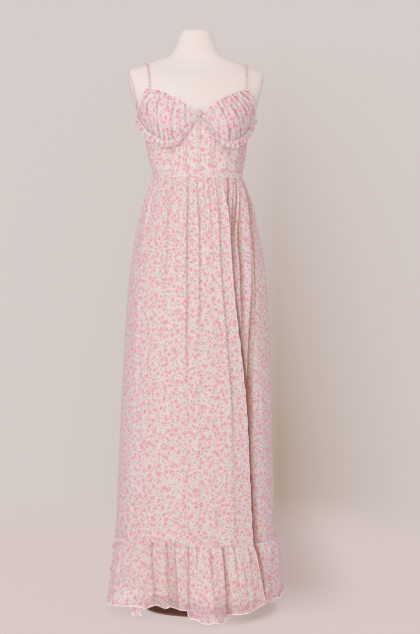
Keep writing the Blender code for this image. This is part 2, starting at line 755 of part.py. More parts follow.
def make_skirt_back(material, collection):
    """Back skirt; it starts under the front one at the slit."""
    last_gather = BACK_COURSES[-1].gather
    rows = []
    for z in SKIRT_RINGS:
        row = []
        for place in range(last_gather * COLUMNS_PER_GATHER + 1):
            gather = place / COLUMNS_PER_GATHER
            angle = course_angle(BACK_COURSES, gather, z)
            if z > EDGE_MEETS_ABOVE:
                edge = course_angle(FRONT_COURSES, FRONT_COURSES[-1].gather, z) + EDGE_GAP
                angle += (edge - course_angle(BACK_COURSES, 0, z)) * smooth(1 - gather / 2)
            trough = GATHER_PROFILE[place % COLUMNS_PER_GATHER]
            sink = LAP_SINK * lap_share(z) * smooth(1 - gather / SINK_GATHERS)
            radius = skirt_radius(angle, z) - sink
            seam_calm = smooth(min(gather, last_gather - gather) + SEAM_CALM)
            radius -= trough * seam_calm * fold_depth(BACK_FOLDS, place // COLUMNS_PER_GATHER, z)
            height = z + SEAM_GAP if z == FLOUNCE_SEAM else z
            row.append(polar(angle, radius, height))
        rows.append(row)
    return cloth_piece("skirt_back", rows, False, material, collection)


def hem_height(angle):
    """Height of the hem's edge over the floor."""
    return column(HEM, "z", angle, "angle")


def flounce_rows(first, last, gathers, lift, waves):
    """Rows of a flounce between two edges, hem first, from its gathered seam down."""
    columns = gathers * COLUMNS_PER_GATHER
    rows = []
    for down in reversed(FLOUNCE_ROWS):
        row = []
        for place in range(columns + 1):
            top = FLOUNCE_SEAM - SEAM_GAP
            share = place / columns
            start, end = first(FLOUNCE_EVEN_HEIGHT), last(FLOUNCE_EVEN_HEIGHT)
            hem = hem_height(start + (end - start) * share)
            z = top + (hem - top) * down
            angle = first(z) + (last(z) - first(z)) * share
            radius = skirt_radius(angle, z) + lift(angle)
            swing = sum(wave.swing * bell(angle - wave.angle, wave.width) for wave in waves)
            radius += swing * down ** WAVE_GROWTH
            dip = GATHER_PROFILE[place % COLUMNS_PER_GATHER] * FLOUNCE_GATHER_DEPTH
            row.append(polar(angle, radius - dip * (1 - FLOUNCE_CALM * down), z))
        rows.append(row)
    return rows


def make_flounce_front(material, collection):
    """Front hem flounce with a free edge at the slit."""
    rows = flounce_rows(
        lambda z: SIDE_SEAM,
        lambda z: through(FLOUNCE_FRONT_EDGE, z),
        FRONT_FLOUNCE_GATHERS,
        lambda angle: FLOUNCE_LIFT + LAP_LIFT * smooth((angle - 30) / 14),
        HEM_WAVES,
    )
    return cloth_piece("flounce_front", rows, False, material, collection)


def make_flounce_back(material, collection):
    """Back hem flounce; it starts under the front one at the slit."""
    rows = flounce_rows(
        lambda z: through(FLOUNCE_FRONT_EDGE, z) - FLOUNCE_LAP,
        lambda z: SIDE_SEAM + 360.0 - SIDE_EDGE_GAP,
        BACK_FLOUNCE_GATHERS,
        lambda angle: FLOUNCE_LIFT - LAP_SINK * smooth((60 - angle) / 16),
        [wave for wave in HEM_WAVES if wave.angle > 60] + [BACK_FLOUNCE_LAP],
    )
    return cloth_piece("flounce_back", rows, False, material, collection)


def make_lining(material, collection):
    """Plain under-skirt that ends above the hem."""
    angles = [360.0 * place / LINING_COLUMNS for place in range(LINING_COLUMNS)]
    rows = [[polar(angle, lining_radius(angle, z), z) for angle in angles] for z in LINING_RINGS]
    return cloth_piece("skirt_lining", rows, True, material, collection, LINING_THICKNESS)


def main():
    for old in list(bpy.data.objects):
        bpy.data.objects.remove(old, do_unlink=True)
    dress = bpy.data.collections.new("Chiffon dress on a dress form")
    bpy.context.scene.collection.children.link(dress)

    chiffon = make_material("Printed chiffon", (0.80, 0.56, 0.56), 0.85)
    lining = make_material("Lining", (0.82, 0.70, 0.60), 0.80)
    cover = make_material("Form cover", (0.83, 0.76, 0.69), 0.75)
    metal = make_material("Painted steel", (0.13, 0.06, 0.04), 0.45)

    make_torso(cover, dress)
    make_arm_plate("form_arm_plate_left", 1, cover, dress)
    make_arm_plate("form_arm_plate_right", -1, cover, dress)
    make_stand(metal, dress)

    make_cup("cup_left", 1, chiffon, dress)
    make_cup("cup_right", -1, chiffon, dress)
    make_ruffle("cup_ruffle_left", 1, chiffon, dress)
    make_ruffle("cup_ruffle_right", -1, chiffon, dress)
    make_tuft(chiffon, dress)
    make_midriff(chiffon, dress)
    make_back_bodice(chiffon, dress)
    for name, across in CHANNEL_PLACES.items():
        make_channel(name, across, chiffon, dress)
    make_waistband(chiffon, dress)
    make_strap("strap_left", 1, chiffon, dress)
    make_strap("strap_right", -1, chiffon, dress)

    make_skirt_front(chiffon, dress)
    make_skirt_back(chiffon, dress)
    make_flounce_front(chiffon, dress)
    make_flounce_back(chiffon, dress)
    make_lining(lining, dress)


main()
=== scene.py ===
# %% [markdown]
# # A printed chiffon maxi dress on a dress form
#
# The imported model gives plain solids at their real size. This lesson dresses them: every panel
# becomes a fine sheet of cloth with its gathers, and every surface gets its finish.
# All of it stays in the frame of the solids: metres, +Z up, the front of the dress facing -Y.

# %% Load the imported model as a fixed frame
import math

import bpy
import numpy as np
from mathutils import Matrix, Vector


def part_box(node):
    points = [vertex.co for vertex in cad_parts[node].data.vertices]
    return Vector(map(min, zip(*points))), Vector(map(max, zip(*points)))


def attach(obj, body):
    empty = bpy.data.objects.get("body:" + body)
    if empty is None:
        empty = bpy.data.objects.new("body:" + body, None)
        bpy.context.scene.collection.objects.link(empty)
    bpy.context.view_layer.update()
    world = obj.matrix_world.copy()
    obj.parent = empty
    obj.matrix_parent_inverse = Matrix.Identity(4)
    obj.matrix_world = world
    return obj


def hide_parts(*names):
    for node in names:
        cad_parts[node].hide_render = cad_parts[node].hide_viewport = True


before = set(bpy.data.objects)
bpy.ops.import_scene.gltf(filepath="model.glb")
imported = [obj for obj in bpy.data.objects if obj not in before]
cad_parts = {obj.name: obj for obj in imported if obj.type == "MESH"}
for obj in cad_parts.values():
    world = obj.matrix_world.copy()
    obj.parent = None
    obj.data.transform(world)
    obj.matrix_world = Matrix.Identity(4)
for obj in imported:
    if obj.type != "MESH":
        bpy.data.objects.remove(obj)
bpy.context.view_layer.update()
print("nodes in the frame:", len(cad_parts))

# %% [markdown]
# ## Curves through a few measured values
#
# A garment's shape is read from short tables: a width here, a width there, and a smooth curve
# between them. A spline could overshoot between two close values, so the slope at each value
# is held back where the curve turns. The same curves made the solids, so cloth and solid agree.


# %% Smooth curves and small shape functions
def through(keys, values, at):
    """Smooth curve through (key, value) points, flat beyond the two ends."""
    keys = np.asarray(keys, float)
    values = np.asarray(values, float)
    at = np.clip(np.asarray(at, float), keys[0], keys[-1])
    place = np.clip(np.searchsorted(keys, at, side="right") - 1, 0, len(keys) - 2)
    column = (slice(None),) + (None,) * (values.ndim - 1)
    span = np.diff(keys)[column]
    slope = np.diff(values, axis=0) / span
    product = slope[:-1] * slope[1:]
    total = slope[:-1] + slope[1:]
    inner = np.where(product > 0, 2 * product / np.where(total == 0, 1, total), 0.0)
    tangent = np.concatenate([slope[:1], inner, slope[-1:]])
    wide = span[place]
    t = (at - keys[place]).reshape(at.shape + (1,) * (values.ndim - 1)) / wide
    return (
        (1 + 2 * t) * (1 - t) ** 2 * values[place]
        + t * (1 - t) ** 2 * wide * tangent[place]
        + t * t * (3 - 2 * t) * values[place + 1]
        + t * t * (t - 1) * wide * tangent[place + 1]
    )


def smooth(t):
    """0 to 1 with soft ends."""
    t = np.clip(t, 0.0, 1.0)
    return t * t * (3 - 2 * t)


def bell(distance, width):
    """A soft bump that is 1 at its middle."""
    return np.exp(-((distance / width) ** 2))


def turned(angle):
    """The same angle between -180 and 180."""
    return (angle + 180.0) % 360.0 - 180.0


def oval(angle, left, right, front, back, power):
    """Distance from the axis to an oval with four unlike half axes."""
    across = np.sin(np.radians(angle))
    ahead = np.cos(np.radians(angle))
    side = np.where(across >= 0, right, left)
    depth = np.where(ahead >= 0, front, back)
    return (np.abs(across / side) ** power + np.abs(ahead / depth) ** power) ** (-1 / power)


def polar(angle, radius, z):
    """Points at an angle round the axis, 0 being the front, as one array."""
    turn = np.radians(angle)
    angle, radius, z, turn = np.broadcast_arrays(angle, radius, z, turn)
    return np.stack([radius * np.sin(turn), -radius * np.cos(turn), z], axis=-1)


# %% [markdown]
# ## The body under the cloth
#
# A dress has no shape of its own: it takes it from the body. So the first surface is the dress
# form's, as flat sections with a width and two depths. The bodice lies a few millimetres off it.


# %% Sections of the dress form and the ease of the bodice
TORSO_Z = [
    0.850, 0.862, 0.950, 1.040, 1.110, 1.150, 1.181, 1.220, 1.260, 1.300, 1.330, 1.352, 1.375,
    1.395, 1.417, 1.439, 1.452, 1.462, 1.471, 1.479, 1.487, 1.503, 1.527, 1.549, 1.564, 1.572, 1.575,
]
TORSO_HALF = [
    0.146, 0.151, 0.153, 0.142, 0.121, 0.1105, 0.1135, 0.1260, 0.1335, 0.1420, 0.1545, 0.1660,
    0.1820, 0.1920, 0.2000, 0.2040, 0.2000, 0.1820, 0.1580, 0.1370, 0.1120, 0.0740, 0.0570, 0.0490,
    0.0435, 0.0370, 0.0270,
]
TORSO_FRONT = [
    0.098, 0.103, 0.108, 0.105, 0.098, 0.091, 0.093, 0.099, 0.106, 0.111, 0.113, 0.112, 0.107,
    0.100, 0.089, 0.075, 0.064, 0.056, 0.050, 0.045, 0.041, 0.038, 0.036, 0.031, 0.028, 0.022, 0.012,
]
TORSO_BACK = [
    0.108, 0.114, 0.118, 0.106, 0.088, 0.078, 0.079, 0.085, 0.091, 0.098, 0.103, 0.105, 0.107,
    0.108, 0.107, 0.103, 0.098, 0.092, 0.086, 0.082, 0.078, 0.073, 0.070, 0.065, 0.060, 0.053, 0.043,
]
TORSO_POWER = 2.2
BUST_ANGLE, BUST_SPREAD, BUST_Z, BUST_TALL, BUST_RISE = 38.0, 20.0, 1.292, 0.045, 0.012
ARM_PLANE_X, ARM_PLANE_Z, ARM_PLANE_SLOPE = 0.1805, 1.439, 0.253
EASE_Z = [1.164, 1.181, 1.200, 1.220, 1.245, 1.300, 1.420]
EASE_LEFT = [0.0045, 0.0040, 0.0030, 0.0030, 0.0030, 0.0030, 0.0030]
EASE_RIGHT = [0.0150, 0.0145, 0.0115, 0.0085, 0.0075, 0.0030, 0.0030]
EASE_FRONT = [0.0070, 0.0060, 0.0035, 0.0030, 0.0030, 0.0030, 0.0030]
EASE_BACK = [0.0065, 0.0060, 0.0045, 0.0035, 0.0030, 0.0030, 0.0030]


def torso_radius(angle, z):
    """The dress form's surface."""
    half = through(TORSO_Z, TORSO_HALF, z)
    front = through(TORSO_Z, TORSO_FRONT, z)
    back = through(TORSO_Z, TORSO_BACK, z)
    rise = bell((np.abs(turned(angle)) - BUST_ANGLE) / BUST_SPREAD, 1.0)
    radius = oval(angle, half, half, front, back, TORSO_POWER)
    return radius + BUST_RISE * rise * bell(z - BUST_Z, BUST_TALL)


def bodice_radius(angle, z):
    """The bodice's outer surface."""
    across = np.sin(np.radians(angle))
    ahead = np.cos(np.radians(angle))
    left, right = through(EASE_Z, EASE_LEFT, z), through(EASE_Z, EASE_RIGHT, z)
    front, back = through(EASE_Z, EASE_FRONT, z), through(EASE_Z, EASE_BACK, z)
    side = np.where(across >= 0, right, left)
    depth = np.where(ahead >= 0, front, back)
    return torso_radius(angle, z) + side * across**2 + depth * ahead**2


waist_round = 2 * math.pi * float(bodice_radius(90, 1.17) + bodice_radius(0, 1.17)) / 2
print("the dress is about", round(waist_round, 2), "m round the waist")

# %% [markdown]
# ## A sheet of cloth from rows of points
#
# Each panel is a grid: rows run round the body and columns run down it, as the threads do.
# A print is drawn on the flat cloth before the dress is sewn. So each point also keeps its
# place on the flat cloth, in metres, as the mesh's UV map, and gathers then squeeze the print.
# Two more values are kept at each point. One says how the cloth lies: 0 flat on what is under
# it, 1 well clear of it, -1 in the bottom of a crease, -2 deep between two layers; below 0 the
# material paints shade by it. The other says where it is a single layer with nothing behind,
# which the material paints greyer as shade.


# %% Show a piece, and lay its cloth flat
def add_object(name, mesh, material, node_names=()):
    """Show a mesh as a piece that rides on the form and stands for CAD nodes."""
    piece = bpy.data.objects.new(name, mesh)
    bpy.context.scene.collection.objects.link(piece)
    mesh.materials.append(material)
    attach(piece, "root")
    if node_names:
        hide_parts(*node_names)
    return piece


def length_of(path):
    """Length along a path of points."""
    return float(np.linalg.norm(np.diff(path, axis=0), axis=1).sum())


def laid_flat(points, start):
    """Places on the flat cloth: lengths along the rows and the columns, from a row and column."""
    across = np.linalg.norm(np.diff(points, axis=1), axis=-1)
    up = np.linalg.norm(np.diff(points, axis=0), axis=-1)
    across = np.concatenate([np.zeros((len(points), 1)), np.cumsum(across, axis=1)], axis=1)
    up = np.concatenate([np.zeros((1, points.shape[1])), np.cumsum(up, axis=0)])
    across = across - across[:, start[1]:start[1] + 1]
    return np.stack([across, up - up[start[0]:start[0] + 1]], axis=-1)


# %% A sheet of cloth through a grid of points
def grid_mesh(
    name, points, stand=0.0, closed=False, start=(0, 0), fullness=1.0, shift=0.0, single=0.0
):
    """A smooth mesh through points[row, column], with the flat cloth as its UV map."""
    rows, columns = points.shape[:2]
    index = np.arange(rows * columns).reshape(rows, columns)
    right = np.roll(index, -1, axis=1) if closed else index[:, 1:]
    left = index if closed else index[:, :-1]
    faces = np.stack([left[:-1], right[:-1], right[1:], left[1:]], axis=-1).reshape(-1, 4)
    mesh = bpy.data.meshes.new(name)
    mesh.from_pydata(points.reshape(-1, 3).tolist(), [], faces.tolist())
    flat = laid_flat(points, start)
    corners = flat.reshape(-1, 2)[faces]
    if closed:
        join = flat[:, -1, 0] + np.linalg.norm(points[:, 0] - points[:, -1], axis=-1)
        last = faces[:, 0] % columns == columns - 1
        corners[last, 1, 0] = join[:-1]
        corners[last, 2, 0] = join[1:]
    corners = corners * (fullness, 1.0) + shift
    mesh.uv_layers.new(name="flat_cloth").uv.foreach_set("vector", corners.reshape(-1))
    # The first value is how the cloth lies, and below zero painted shade; the second marks single cloth,
    # painted greyer as shade
    values = np.broadcast_to(stand, (rows, columns)).reshape(-1).astype(float)
    mesh.attributes.new("standoff_and_shade", "FLOAT", "POINT").data.foreach_set("value", values)
    values = np.broadcast_to(single, (rows, columns)).reshape(-1).astype(float)
    mesh.attributes.new("single_cloth", "FLOAT", "POINT").data.foreach_set("value", values)
    mesh.shade_smooth()
    mesh.update()
    return mesh


def cloth_sheet(name, points, material, node_names=(), slot="chiffon", **cloth):
    """Show a grid of points as a piece; grid_mesh lists what can be said about its cloth."""
    return add_object(name, grid_mesh(name, points, **cloth), material, node_names)


# %% A round cord, for rolled edges and straps
def tube_mesh(name, path, radius, sides=8, closed=False):
    """A round cord along a path of points."""
    path = np.asarray(path, float)
    along = np.gradient(path, axis=0)
    if closed:
        along = np.roll(path, -1, axis=0) - np.roll(path, 1, axis=0)
    along /= np.linalg.norm(along, axis=1)[:, None]
    up = np.array([0.0, 0.0, 1.0])
    across = np.cross(along, up)
    flat = np.linalg.norm(across, axis=1) < 0.05
    across[flat] = np.cross(along[flat], [1.0, 0.0, 0.0])
    across /= np.linalg.norm(across, axis=1)[:, None]
    over = np.cross(across, along)
    radius = np.broadcast_to(radius, len(path))[:, None]
    rings = []
    for side in range(sides):
        turn = 2 * math.pi * side / sides
        rings.append(path + (across * math.cos(turn) + over * math.sin(turn)) * radius)
    points = np.stack(rings + rings[:1], axis=0)
    if closed:
        points = np.concatenate([points, points[:, :1]], axis=1)
    return grid_mesh(name, points)


# %% [markdown]
# ## Adding material nodes
#
# A node material is a chain of small steps. One function adds a step, sets its options and
# fills its inputs with numbers or with the results of earlier steps. Colours are written as
# the hex values that a colour picker shows, and turned into the linear light Blender works in.


# %% One helper for nodes and one for colours
def linear(hex_colour):
    """An sRGB hex colour as linear RGBA."""
    parts = [int(hex_colour[place:place + 2], 16) / 255 for place in (1, 3, 5)]
    return (*(c / 12.92 if c <= 0.04045 else ((c + 0.055) / 1.055) ** 2.4 for c in parts), 1.0)


def add_node(tree, kind, inputs=None, **options):
    """Add a shader node, set its options, and fill its inputs with values or links."""
    node = tree.nodes.new("ShaderNode" + kind)
    for name, value in options.items():
        setattr(node, name, value)
    for name, value in (inputs or {}).items():
        if isinstance(value, bpy.types.NodeSocket):
            tree.links.new(value, node.inputs[name])
        else:
            node.inputs[name].default_value = value
    return node


def waves(spacing):
    """Scale of a wave texture for a spacing in metres: scale 1 draws about 3.14 waves a metre."""
    return 1 / (3.14 * spacing)


def new_material(name, inputs):
    """A material with one Principled shader, and the tree to add its pattern to."""
    material = bpy.data.materials.new(name)
    material.use_nodes = True
    tree = material.node_tree
    shader = tree.nodes["Principled BSDF"]
    for socket, value in inputs.items():
        shader.inputs[socket].default_value = value
    return material, tree, shader


# %% [markdown]
# ## Printed crepe chiffon
#
# Chiffon is a plain weave of hard-twisted threads, so thin that what lies behind it shows
# through. Pigment is printed on it: here little two-tone rosettes, buds and grey-green leaf
# specks, scattered loosely. Each kind of motif is one layer of Voronoi cells: every cell has
# its own middle, and distance and direction from that middle draw the petals.
# Where the cloth is single, the warm lining shows; where it is double or stands off, it is cooler.
# Shade in its creases, in the slit and behind the see-through hem is painted into its colour.


# %% Sizes and tones of the print
# The real crepe thread is 0.3 mm; it is drawn four times as coarse, or it would not show
THREAD = 0.0012
INK_PATCH = 0.004
# Tones of painted shade that a crease, the slit and the single cloth at the hem are multiplied by
CREASE_SHADE_TONE, SLIT_SHADE_TONE, SEE_THROUGH_SHADE_TONE = "#c9a092", "#a87f6d", "#f5ecf0"
# Columns: spacing and radii in metres, how far cells wander, share of cells that hold one,
# how long it is for its width, number and depth of its lobes, its strength, and its tones from
# the heart to the rim. Rows: leaf specks, buds, small flowers, large rosettes
MOTIFS = [
    (0.0050, (0.0009, 0.0017), 1.0, 0.78, 1.4, 2, 0.10, 0.90, [(0.0, "#a6b4a5"), (1.0, "#c1cabd")]),
    (0.0082, (0.0013, 0.0021), 1.0, 0.80, 1.15, 3, 0.08, 0.92, [(0.0, "#ca7287"), (1.0, "#e19dab")]),
    (0.0165, (0.0032, 0.0048), 0.9, 0.66, 1.25, 4, 0.16, 0.74,
     [(0.0, "#eecac9"), (0.32, "#d18798"), (0.58, "#e5adb7"), (0.95, "#f2cdcf")]),
    (0.0200, (0.0060, 0.0082), 0.78, 0.94, 1.1, 5, 0.15, 0.80,
     [(0.04, "#f4ddd9"), (0.14, "#dd9eaa"), (0.27, "#c87588"), (0.42, "#db98a6"), (0.60, "#edbac1"),
      (0.98, "#f2cdcf")]),
]


# %% One layer of motifs
def motif_layer(tree, cloth, motif, number):
    """Colour and cover of one motif, scattered over the cloth in Voronoi cells."""
    spacing, (small, large), wander, present, longer, lobes, lobe_depth, strength, tones = motif
    # Each layer is turned on the cloth, so that no row of cells runs level round the skirt
    place = add_node(
        tree, "VectorRotate", {"Vector": cloth, "Center": (3, 1, 0), "Angle": 0.5 + 1.1 * number},
        rotation_type="Z_AXIS",
    ).outputs[0]
    cells = add_node(
        tree, "TexVoronoi", {"Vector": place, "Scale": 1 / spacing, "Randomness": wander},
        voronoi_dimensions="2D", feature="F1",
    )
    chance = add_node(tree, "SeparateColor", {0: cells.outputs["Color"]}).outputs
    local = add_node(
        tree, "VectorMath", {0: place, 1: cells.outputs["Position"]}, operation="SUBTRACT"
    ).outputs[0]
    angle = add_node(tree, "Math", {0: chance["Red"], 1: 2 * math.pi}, operation="MULTIPLY").outputs[0]
    local = add_node(
        tree, "VectorRotate", {"Vector": local, "Angle": angle}, rotation_type="Z_AXIS"
    ).outputs[0]
    local = add_node(
        tree, "VectorMath", {0: local, 1: (longer, 1 / longer, 1.0)}, operation="MULTIPLY"
    ).outputs[0]
    distance = add_node(tree, "VectorMath", {0: local}, operation="LENGTH").outputs["Value"]
    axes = add_node(tree, "SeparateXYZ", {0: local}).outputs
    direction = add_node(tree, "Math", {0: axes["Y"], 1: axes["X"]}, operation="ARCTAN2").outputs[0]
    petals = add_node(tree, "Math", {0: direction, 1: lobes}, operation="MULTIPLY").outputs[0]
    petals = add_node(tree, "Math", {0: petals}, operation="COSINE").outputs[0]
    size = add_node(
        tree, "MapRange", {"Value": chance["Green"], "To Min": small, "To Max": large}
    ).outputs[0]
    share = add_node(tree, "Math", {0: distance, 1: size}, operation="DIVIDE").outputs[0]
    share = add_node(
        tree, "Math", {0: petals, 1: lobe_depth, 2: share}, operation="MULTIPLY_ADD"
    ).outputs[0]
    there = add_node(
        tree, "Math", {0: chance["Blue"], 1: 1 - present}, operation="GREATER_THAN"
    ).outputs[0]
    cover = add_node(
        tree, "MapRange",
        {"Value": share, "From Min": 0.76, "From Max": 1.12, "To Min": strength, "To Max": 0.0},
    ).outputs[0]
    cover = add_node(tree, "Math", {0: cover, 1: there}, operation="MULTIPLY").outputs[0]
    # Ink takes unevenly on crepe, and each flower is printed a little deeper or paler
    ink = add_node(tree, "TexNoise", {"Vector": cloth, "Scale": 1 / INK_PATCH, "Detail": 1.0})
    depth = add_node(
        tree, "Math", {0: ink.outputs["Fac"], 1: 2.2, 2: chance["Blue"]}, operation="MULTIPLY_ADD"
    ).outputs[0]
    depth = add_node(tree, "Math", {0: depth, 1: 0.25, 2: -0.40}, operation="MULTIPLY_ADD").outputs[0]
    depth = add_node(tree, "Math", {0: share, 1: depth}, operation="ADD").outputs[0]
    tone = add_node(tree, "ValToRGB", {"Fac": depth})
    ramp = tone.color_ramp
    ramp.elements[0].position, ramp.elements[0].color = tones[0][0], linear(tones[0][1])
    ramp.elements[1].position, ramp.elements[1].color = tones[-1][0], linear(tones[-1][1])
    for position, colour in tones[1:-1]:
        ramp.elements.new(position).color = linear(colour)
    return tone.outputs["Color"], cover


# %% The chiffon with its layers, creases and grain
def printed_chiffon(name, ground, ground_off, opacity):
    """Printed chiffon, with painted shade; ground is its tone on the lining and ground_off away from it.
    """
    material, tree, shader = new_material(
        name, {"Roughness": 0.78, "IOR": 1.46, "Sheen Weight": 0.15, "Sheen Roughness": 0.45}
    )
    shader.inputs["Sheen Tint"].default_value = linear("#fbeff3")
    shader.inputs["Specular IOR Level"].default_value = 0.25
    cloth = add_node(tree, "UVMap", uv_map="flat_cloth").outputs[0]
    # How the cloth lies; below zero it carries the painted shade of creases and of the slit
    off = add_node(tree, "Attribute", attribute_name="standoff_and_shade").outputs["Fac"]
    base = add_node(
        tree, "Mix", {"Factor": off, "A": linear(ground), "B": linear(ground_off)}, data_type="RGBA"
    ).outputs["Result"]
    for number, motif in enumerate(MOTIFS):
        tone, cover = motif_layer(tree, cloth, motif, number)
        base = add_node(
            tree, "Mix", {"Factor": cover, "A": base, "B": tone}, data_type="RGBA"
        ).outputs["Result"]
    # Painted shade in the bottom of each crease, pink as light that has come through two layers of cloth
    crease_shade = add_node(
        tree, "MapRange", {"Value": off, "From Min": 0.0, "From Max": -1.0, "To Max": 0.85}
    ).outputs[0]
    base = add_node(
        tree, "Mix", {"Factor": crease_shade, "A": base, "B": linear(CREASE_SHADE_TONE)},
        data_type="RGBA", blend_type="MULTIPLY",
    ).outputs["Result"]
    # Deeper painted shade between two layers, where hardly any light is left
    deep = add_node(tree, "MapRange", {"Value": off, "From Min": -1.0, "From Max": -2.0}).outputs[0]
    base = add_node(
        tree, "Mix", {"Factor": deep, "A": base, "B": linear(SLIT_SHADE_TONE)},
        data_type="RGBA", blend_type="MULTIPLY",
    ).outputs["Result"]
    # Painted shade: where nothing lies behind the single cloth, it is greyed as by the skirt's dark
    # interior
    single = add_node(tree, "Attribute", attribute_name="single_cloth").outputs["Fac"]
    base = add_node(
        tree, "Mix", {"Factor": single, "A": base, "B": linear(SEE_THROUGH_SHADE_TONE)},
        data_type="RGBA", blend_type="MULTIPLY",
    ).outputs["Result"]
    tree.links.new(base, shader.inputs["Base Color"])

    if opacity < 1:
        pigment = add_node(
            tree, "Math", {0: cover, 1: (1 - opacity) * 0.5, 2: opacity}, operation="MULTIPLY_ADD"
        ).outputs[0]
        tree.links.new(pigment, shader.inputs["Alpha"])

    # The crepe's grain, and soft dents a few centimetres wide where the cloth is slack
    crepe = add_node(tree, "TexNoise", {"Vector": cloth, "Scale": 1 / THREAD, "Detail": 2.0})
    soft = add_node(tree, "TexNoise", {"Vector": cloth, "Scale": 28.0, "Detail": 2.0})
    height = add_node(
        tree, "Math", {0: soft.outputs["Fac"], 1: 2.4, 2: crepe.outputs["Fac"]},
        operation="MULTIPLY_ADD",
    ).outputs[0]
    bump = add_node(tree, "Bump", {"Strength": 0.35, "Distance": 0.0006, "Height": height})
    tree.links.new(bump.outputs[0], shader.inputs["Normal"])
    return material


CHIFFON = printed_chiffon("chiffon_single", "#ece0d9", "#e9dde5", 0.84)
CHIFFON_DOUBLE = printed_chiffon("chiffon_double", "#e1d7d8", "#ddd5dd", 1.0)
# On the midriff the chiffon is laid on a firm warm interlining, so nothing shows through
CHIFFON_FIRM = printed_chiffon("chiffon_interlined", "#e8dcd7", "#e3d8df", 1.0)
print("materials:", CHIFFON.name, CHIFFON_DOUBLE.name, CHIFFON_FIRM.name)

# %% [markdown]
# ## The dress form's cover, its plates and its stand
#
# The form is padded and covered in ivory jersey, pulled tight and smooth. It could stay the
# coarse solid, but its neck and shoulders show, so it is drawn again with finer sections
# from the same curves. The jersey gets a fine knit, and the stand a satin paint.


# %% Jersey
def knit_jersey(name, colour, shade):
    """Fine cotton jersey pulled over padding: matt, with a faint knit and wide soft mottling."""
    material, tree, shader = new_material(
        name, {"Roughness": 0.82, "IOR": 1.45, "Sheen Weight": 0.12, "Specular IOR Level": 0.3}
    )
    place = add_node(tree, "TexCoord").outputs["Object"]
    mottle = add_node(tree, "TexNoise", {"Vector": place, "Scale": 9.0, "Detail": 3.0})
    base = add_node(
        tree, "Mix",
        {"Factor": mottle.outputs["Fac"], "A": linear(colour), "B": linear(shade)}, data_type="RGBA",
    ).outputs["Result"]
    tree.links.new(base, shader.inputs["Base Color"])
    # Real courses of the knit are 0.7 mm apart; they are drawn at 2.8 mm so that they show
    courses = add_node(
        tree, "TexWave",
        {"Vector": place, "Scale": waves(0.0028), "Distortion": 0.6, "Detail": 1.0},
        wave_type="BANDS", bands_direction="Z",
    )
    # Fuzz of about a millimetre
    fuzz = add_node(tree, "TexNoise", {"Vector": place, "Scale": 900.0, "Detail": 1.0})
    height = add_node(
        tree, "Math", {0: courses.outputs["Fac"], 1: 0.5, 2: fuzz.outputs["Fac"]},
        operation="MULTIPLY_ADD",
    ).outputs[0]
    bump = add_node(tree, "Bump", {"Strength": 0.18, "Distance": 0.0004, "Height": height})
    tree.links.new(bump.outputs[0], shader.inputs["Normal"])
    return material


JERSEY = knit_jersey("cotton_jersey", "#e6ddd8", "#e1d8d1")
print("cover:", JERSEY.name)

# %% Painted steel of the pole and the base plate
RIM_WIDTH, FOOT_HEIGHT = 0.003, 0.0050
RIM_SHADE_TONE, PALE_FOOT = "#7c5849", "#e4dcd5"


def satin_paint(name, colour, worn, rim):
    """Powder-painted steel: satin, with a slight orange-peel surface and a rim painted darker as shade.
    """
    material, tree, shader = new_material(name, {"IOR": 1.5})
    place = add_node(tree, "TexCoord").outputs["Object"]
    wear = add_node(tree, "TexNoise", {"Vector": place, "Scale": 14.0, "Detail": 4.0})
    rough = add_node(
        tree, "MapRange", {"Value": wear.outputs["Fac"], "To Min": 0.34, "To Max": 0.52}
    ).outputs[0]
    tree.links.new(rough, shader.inputs["Roughness"])
    tone = add_node(
        tree, "Mix",
        {"Factor": wear.outputs["Fac"], "A": linear(colour), "B": linear(worn)}, data_type="RGBA",
    ).outputs["Result"]
    flat = add_node(tree, "VectorMath", {0: place, 1: (1, 1, 0)}, operation="MULTIPLY").outputs[0]
    reach = add_node(tree, "VectorMath", {0: flat}, operation="LENGTH").outputs["Value"]
    # The plate's side wall is painted darker, as shade under the hem
    turned_rim = add_node(tree, "Math", {0: reach, 1: rim}, operation="GREATER_THAN").outputs[0]
    tone = add_node(
        tree, "Mix", {"Factor": turned_rim, "A": tone, "B": linear(RIM_SHADE_TONE)}, data_type="RGBA"
    ).outputs["Result"]
    # The lowest few millimetres of the rim are pale, and show as a thin pale line on the floor
    spot = add_node(tree, "NewGeometry").outputs["Position"]
    height = add_node(tree, "SeparateXYZ", {0: spot}).outputs["Z"]
    foot = add_node(tree, "Math", {0: height, 1: FOOT_HEIGHT}, operation="LESS_THAN").outputs[0]
    foot = add_node(tree, "Math", {0: turned_rim, 1: foot}, operation="MULTIPLY").outputs[0]
    tone = add_node(
        tree, "Mix", {"Factor": foot, "A": tone, "B": linear(PALE_FOOT)}, data_type="RGBA"
    ).outputs["Result"]
    tree.links.new(tone, shader.inputs["Base Color"])
    # Orange peel, in dents of 2 to 3 mm
    peel = add_node(tree, "TexNoise", {"Vector": place, "Scale": 380.0, "Detail": 1.0})
    bump = add_node(
        tree, "Bump", {"Strength": 0.12, "Distance": 0.0003, "Height": peel.outputs["Fac"]}
    )
    tree.links.new(bump.outputs[0], shader.inputs["Normal"])
    return material


base_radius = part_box("form_base")[1].x
STEEL = satin_paint("painted_steel", "#b07a63", "#966551", base_radius - RIM_WIDTH)
for node_name in ("form_pole", "form_base"):
    steel_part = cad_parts[node_name]
    steel_part.data.materials.clear()
    steel_part.data.materials.append(STEEL)
print("base plate:", round(2 * base_radius, 3), "m across")


# %% The torso with its neck
def torso_points(heights, columns):
    """Rows of points on the torso, cut flat at the armholes."""
    angle = np.linspace(0, 360, columns, endpoint=False)[None, :]
    z = np.asarray(heights)[:, None]
    points = polar(angle, torso_radius(angle, z), z)
    limit = ARM_PLANE_X - ARM_PLANE_SLOPE * (ARM_PLANE_Z - z)
    points[..., 0] = np.clip(points[..., 0], -limit, limit)
    return points


